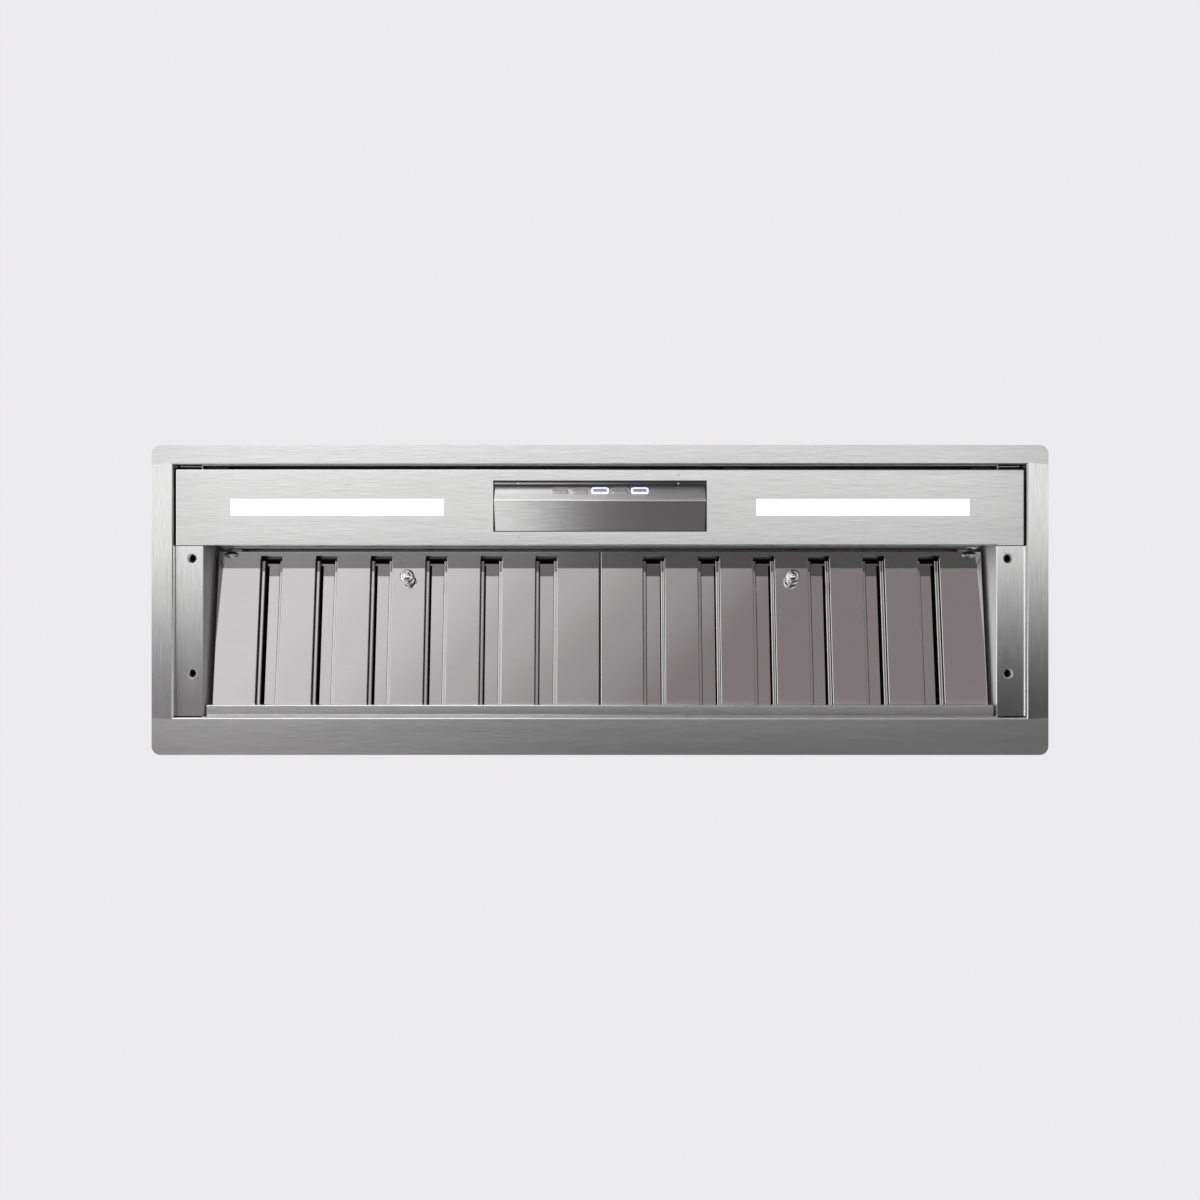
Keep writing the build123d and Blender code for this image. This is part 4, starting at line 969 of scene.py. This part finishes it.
class HOOD_OT_filter_faces(bpy.types.Operator):
    """The polished faces of the filters with their folded slots"""

    bl_idname = "hood.filter_faces"
    bl_label = "Filter faces"

    def execute(self, context):
        bends = context.scene.hood_bends
        centres = [(i - (slot_count - 1) / 2) * slot_pitch for i in range(slot_count)]
        gap = 3.6               # from a slot's end to the end of its lips
        lip_height, lip_width, hem_height, rim_height = 7.6, 3.7, 2.2, 12.0
        edge_of_slots = filter_half - 5
        for side, hand in hands:
            xs = [-filter_half, *(x + w * slot_half for x in centres for w in (-1, 1)), filter_half]
            ys = [filter_front, slot_front, slot_front + gap, slot_rear - gap, slot_rear, filter_rear]
            bm = bmesh.new()
            lattice(bm, xs, ys, 0.0)
            punched = [
                f for f in bm.faces
                if slot_front < f.calc_center_median().y < slot_rear
                and any(abs(f.calc_center_median().x - x) < slot_half for x in centres)
            ]
            bmesh.ops.delete(bm, geom=punched, context="FACES")
            sides = []
            for x in centres:
                for way in (-1, 1):
                    line = [
                        e for e in bm.edges if e.is_boundary
                        and lies(e, lambda c: abs(c.x - x - way * slot_half) < near)
                        and ys[2] - near < (e.verts[0].co.y + e.verts[1].co.y) / 2 < ys[3] + near
                    ]
                    sides.append((way, line))
            rim = [
                e for e in bm.edges if e.is_boundary and (
                    lies(e, lambda c: abs(c.x) > filter_half - near)
                    or lies(e, lambda c: c.y < filter_front + near)
                    or lies(e, lambda c: c.y > filter_rear - near)
                )
            ]
            folds, hems = list(rim), []
            for way, line in sides:
                lip = pull(bm, line, (0, 0, lip_height))
                hem = pull(bm, lip, (-way * lip_width, 0, 0))
                pull(bm, hem, (0, 0, hem_height))
                folds += line + lip
                hems += hem
            pull(bm, rim, (0, 0, rim_height))
            corners = [
                e for e in bm.edges
                if lies(e, lambda c: abs(c.x) > filter_half - near)
                and abs(e.verts[0].co.z - e.verts[1].co.z) > 5
                and any(abs(e.verts[0].co.y - y) < near for y in (filter_front, filter_rear))
            ]
            round_edges(bm, folds + corners, bends.thin_fold * 0.8, 4)
            round_edges(bm, hems, bends.thin_fold * 1.2, 5)
            face_out(bm, (0, filter_rear - 1.5, 0), (0, 0, -1))
            bm.normal_update()
            # Painted shade: slot legs, the steep parts of the hems and, through the sheet's inner
            # side, the top of the filter get the near-black painted-shade steel.
            for f in bm.faces:
                c, n = f.calc_center_median(), f.normal
                leg = abs(n.x) > 0.95
                slope = c.z > 1 and abs(n.z) < 0.6 and slot_front < c.y < slot_rear
                if abs(c.x) < edge_of_slots and (leg or slope):
                    f.material_index = 1
            bmesh.ops.transform(bm, matrix=filter_matrix(side), verts=bm.verts)
            flat_map(bm, "Y")
            new_piece(f"baffle_face_{hand}", bm, finish["polished_steel"], body=f"filter_{hand}",
                      replaced=[f"filter_face_{hand}"],
                      sheet_of=filter_sheet, edge=0.12, second=finish["unpolished"], inside=1)
        return {"FINISHED"}


class HOOD_OT_knobs(bpy.types.Operator):
    """The turned knobs that the filters are drawn down by"""

    bl_idname = "hood.knobs"
    bl_label = "Filter knobs"

    def execute(self, context):
        profile = (
            [(0.0, -7.0), (2.0, -7.0), (2.0, 0.0), (6.0, 0.0)]
            + arc(5.4, 1.0, 0.6, 0, 90, 3)
            + [(4.2, 1.7), (3.6, 2.3), (3.6, 4.6)]
            + arc(4.4, 5.2, 0.8, 200, 270, 3)
            + arc(5.2, 7.6, 1.8, -60, 0, 4)
            + arc(4.6, 12.8, 2.4, 0, 75, 6)
            + [(4.6, 15.25), (4.2, 14.95), (3.7, 15.2), (2.4, 15.7), (1.1, 15.95), (0.0, 16.0)]
        )
        downwards = Matrix.Translation((0, -knob_reach, 0)) @ Matrix.Rotation(pi, 4, "X")
        for side, hand in hands:
            bm = bmesh.new()
            turned(bm, profile, filter_matrix(side) @ downwards, steps=56)
            new_piece(f"knob_{hand}", bm, finish["chrome"], body=f"filter_{hand}",
                      replaced=[f"filter_knob_{hand}"])
        return {"FINISHED"}


class HOOD_OT_catches(bpy.types.Operator):
    """The oval-headed studs at the filters' front corners"""

    bl_idname = "hood.catches"
    bl_label = "Filter catches"

    def execute(self, context):
        dome_size = (7.0, 3.4, 1.9)
        shank = [(0.0, -0.2), (1.6, -0.2), (1.6, 21.6), (1.2, 22.0)]
        ball = arc(0.0, 24.0, 2.2, -56, 90, 9)
        for side, hand in hands:
            local = side * (catch_x - filter_middle)
            place = filter_matrix(side) @ Matrix.Translation((local, -catch_reach, 0))
            bm = bmesh.new()
            dome = bmesh.ops.create_uvsphere(bm, u_segments=40, v_segments=24, radius=1.0)
            bmesh.ops.scale(bm, vec=dome_size, verts=dome["verts"])
            everything = bm.verts[:] + bm.edges[:] + bm.faces[:]
            bmesh.ops.bisect_plane(bm, geom=everything, plane_co=(0, 0, 0.0),
                                   plane_no=(0, 0, 1), clear_outer=True)
            bmesh.ops.holes_fill(bm, edges=[e for e in bm.edges if e.is_boundary])
            turned(bm, shank + ball, steps=28)
            bmesh.ops.recalc_face_normals(bm, faces=bm.faces)
            # Painted shade: the faces of the head that look to the front and down get near-black
            # steel, a painted shade on its upper half.
            for f in bm.faces:
                in_shade = f.normal.y < -0.05 and f.normal.z < 0
                f.material_index = int(in_shade)
            bmesh.ops.transform(bm, matrix=place, verts=bm.verts)
            new_piece(f"catch_{hand}", bm, finish["catch"], body=f"filter_{hand}",
                      replaced=[f"filter_catch_{hand}"],
                      second=finish["unpolished"])
        return {"FINISHED"}


# ---------------------------------------------------------------- stage

def ramp(tree, value, low, high, colours):
    """A run of colours spread evenly from one value to another."""
    spreader = node(tree, "MapRange", {"Value": value, "From Min": low, "From Max": high})
    run = node(tree, "ValToRGB", {"Fac": spreader.outputs["Result"]})
    run.color_ramp.interpolation = "EASE"
    stops = run.color_ramp.elements
    while len(stops) < len(colours):
        stops.new(0.5)
    for i, (stop, colour) in enumerate(zip(stops, colours)):
        stop.position = i / (len(colours) - 1)
        stop.color = (*colour, 1)
    return run.outputs["Color"]


def mixed(tree, factor, low, high, **settings):
    """Two colours mixed by a factor."""
    mixer = node(tree, "Mix", {"Factor": factor, "A": low, "B": high}, data_type="RGBA", **settings)
    return mixer.outputs["Result"]


def step_up(tree, value, low, high):
    """0 below one value, 1 above another and smooth between them."""
    stepper = node(tree, "MapRange", {"Value": value, "From Min": low, "From Max": high},
                   interpolation_type="SMOOTHSTEP")
    return stepper.outputs["Result"]


def grey(value, warmth=0.0):
    """A grey that leans to rose by the given share."""
    return (value, value * (1 - warmth), value * (1 - 0.7 * warmth))


def stage_sheet(name, width, height, place):
    """A flat rectangle, in metres, for the floor and the studio cards."""
    bm = bmesh.new()
    bmesh.ops.create_grid(bm, x_segments=1, y_segments=1, size=0.5)
    bmesh.ops.scale(bm, vec=(width, height, 1), verts=bm.verts)
    bmesh.ops.transform(bm, matrix=place, verts=bm.verts)
    mesh = bpy.data.meshes.new(name)
    bm.to_mesh(mesh)
    bm.free()
    flat = bpy.data.objects.new(name, mesh)
    bpy.context.scene.collection.objects.link(flat)
    return flat


def reflector(name, width, height, place, paint):
    """A glowing studio card that only reflections and soft light see."""
    card = stage_sheet(name, width, height, place)
    card.visible_camera = False
    card.visible_shadow = False
    material = bpy.data.materials.new(name)
    material.use_nodes = True
    tree = material.node_tree
    tree.nodes.clear()
    parts = node(tree, "SeparateXYZ", {"Vector": place_of(tree, "Object")})
    glow = node(tree, "Emission", {"Color": paint(tree, parts.outputs)})
    node(tree, "OutputMaterial", {"Surface": glow.outputs["Emission"]})
    card.data.materials.append(material)


def paint_under(tree, at):
    """Bright under the front, falling away to the rear and to the right."""
    left = ramp(tree, at["Y"], -0.11, 0.12, [grey(1.24), grey(0.66), grey(0.17, 0.06)])
    right = ramp(tree, at["Y"], -0.15, 0.12, [grey(1.22), grey(0.44), grey(0.015, 0.06)])
    flat = mixed(tree, step_up(tree, at["X"], -0.9, 0.1), left, right)
    behind = ramp(tree, at["X"], -0.75, 0.15, [grey(0.46, 0.02), grey(0.3, 0.03), grey(0.17, 0.06)])
    flat = mixed(tree, step_up(tree, at["Y"], 0.42, 0.58), flat, behind)
    aside = node(tree, "Math", {0: at["X"]}, operation="ABSOLUTE").outputs["Value"]
    edge = ramp(tree, aside, 0.7, 0.88, [grey(1.0), grey(0.8)])
    flat = mixed(tree, 1.0, flat, edge, blend_type="MULTIPLY")
    skew = node(tree, "Math", {0: at["X"], 1: at["Y"]}, operation="ADD").outputs["Value"]
    under_filters = ramp(
        tree, skew, -1.35, -0.38,
        [grey(0.86), grey(0.78), grey(0.6, 0.01), grey(0.44, 0.03), grey(0.3, 0.1)],
    )
    return mixed(tree, step_up(tree, at["Y"], -0.53, -0.46), under_filters, flat)


def paint_across(start, end, low, high):
    """From one grey on the left to another on the right."""
    def paint(tree, at):
        return ramp(tree, at["X"], start, end, [grey(low), grey(high, 0.08)])
    return paint


def paint_up(low, high):
    """From one grey at the bottom to another at the top."""
    def paint(tree, at):
        return ramp(tree, at["Z"], -1.6, 0.3, [grey(low), grey(high)])
    return paint


class HOOD_OT_stage(bpy.types.Operator):
    """Floor, lamps, background and camera"""

    bl_idname = "hood.stage"
    bl_label = "Stage"

    def execute(self, context):
        studio = context.scene.hood_studio
        scene = context.scene
        scene.view_settings.view_transform = "Standard"
        floor = stage_sheet("floor", 18.0, 18.0, Matrix.Translation((0, 0, -studio.floor_depth)))
        material, tree, shader = start("pale floor")
        cloud = even_noise(tree, 3.0, 3.0)
        tint(tree, cloud, tuple(studio.backdrop), 0.012, shader.inputs["Base Color"])
        shader.inputs["Roughness"].default_value = 0.9
        floor.data.materials.append(material)

        world = bpy.data.worlds.new("studio")
        world.use_nodes = True
        scene.world = world
        tree = world.node_tree
        path = node(tree, "LightPath", {})
        seen = path.outputs["Is Camera Ray"]
        for kind in ("Is Glossy Ray", "Is Transmission Ray"):
            either = node(tree, "Math", {0: seen, 1: path.outputs[kind]}, operation="MAXIMUM")
            seen = either.outputs["Value"]
        shown = mixed(tree, seen, (0.5, 0.5, 0.5, 1), (*studio.backdrop, 1))
        tree.links.new(shown, tree.nodes["Background"].inputs["Color"])

        def lie(x, y, z):
            return Matrix.Translation((x, y, z))

        upright = Matrix.Rotation(pi / 2, 4, "X")
        sideways = Matrix.Rotation(pi / 2, 4, "Y")
        long, tall, middle_z = 2.8, 1.9, -0.65
        reflector("reflector_under", long, long, lie(0, -0.2, -1.6), paint_under)
        reflector("reflector_front", long, tall, lie(0, -1.6, middle_z) @ upright,
                  paint_across(-0.16, 0.1, 1.95, 0.18))
        reflector("reflector_rear", long, tall, lie(0, 1.2, middle_z) @ upright,
                  paint_across(-0.17, -0.005, 1.0, 0.1))
        reflector("reflector_left", tall, long, lie(-1.4, -0.2, middle_z) @ sideways,
                  paint_up(1.2, 2.0))
        reflector("reflector_right", tall, long, lie(1.4, -0.2, middle_z) @ sideways,
                  paint_up(0.25, 0.12))

        def soft_box(name, at, power):
            lamp = bpy.data.lights.new(name, "AREA")
            lamp.shape = "RECTANGLE"
            lamp.size, lamp.size_y = 1.6, 1.2
            lamp.energy = power
            light = bpy.data.objects.new(name, lamp)
            scene.collection.objects.link(light)
            light.location = at
            way = Vector((0, -0.02, 0)) - Vector(at)
            light.rotation_euler = way.to_track_quat("-Z", "Y").to_euler()
            light.visible_camera = False
            light.visible_glossy = False

        soft_box("key", (-1.2, -1.4, 1.9), 30.0)
        soft_box("fill", (1.6, 1.3, 1.5), 14.0)

        lens = bpy.data.cameras.new("camera")
        camera = bpy.data.objects.new("camera", lens)
        scene.collection.objects.link(camera)
        camera.location = (0, -0.0155, face_z * MM - studio.distance)
        camera.rotation_euler = (pi, 0, 0)
        lens.lens = studio.lens
        lens.sensor_width = 36.0
        lens.clip_start = 0.05
        scene.camera = camera
        return {"FINISHED"}


class HOOD_PT_panel(bpy.types.Panel):
    """Lists the pieces of the range hood insert"""

    bl_idname = "HOOD_PT_panel"
    bl_label = "Range Hood Insert"
    bl_space_type = "VIEW_3D"
    bl_region_type = "UI"
    bl_category = "Hood"

    def draw(self, context):
        scene = context.scene
        for group in (scene.hood_bends, scene.hood_finishes, scene.hood_studio):
            for name in group.__annotations__:
                self.layout.prop(group, name)
        for operator in operators:
            self.layout.operator(operator.bl_idname)


groups = (HoodBends, HoodFinishes, HoodStudio)
operators = (
    HOOD_OT_finishes, HOOD_OT_flange, HOOD_OT_light_panel, HOOD_OT_side_channels, HOOD_OT_rail,
    HOOD_OT_gutter, HOOD_OT_control_unit, HOOD_OT_buttons, HOOD_OT_strips, HOOD_OT_filter_faces,
    HOOD_OT_knobs, HOOD_OT_catches, HOOD_OT_stage,
)


def register():
    for item in (*groups, *operators, HOOD_PT_panel):
        bpy.utils.register_class(item)
    bpy.types.Scene.hood_bends = bpy.props.PointerProperty(type=HoodBends)
    bpy.types.Scene.hood_finishes = bpy.props.PointerProperty(type=HoodFinishes)
    bpy.types.Scene.hood_studio = bpy.props.PointerProperty(type=HoodStudio)


def unregister():
    del bpy.types.Scene.hood_studio
    del bpy.types.Scene.hood_finishes
    del bpy.types.Scene.hood_bends
    for item in reversed((*groups, *operators, HOOD_PT_panel)):
        bpy.utils.unregister_class(item)


def main():
    register()
    for operator in operators:
        area, name = operator.bl_idname.split(".")
        getattr(getattr(bpy.ops, area), name)()


if __name__ == "__main__":
    main()
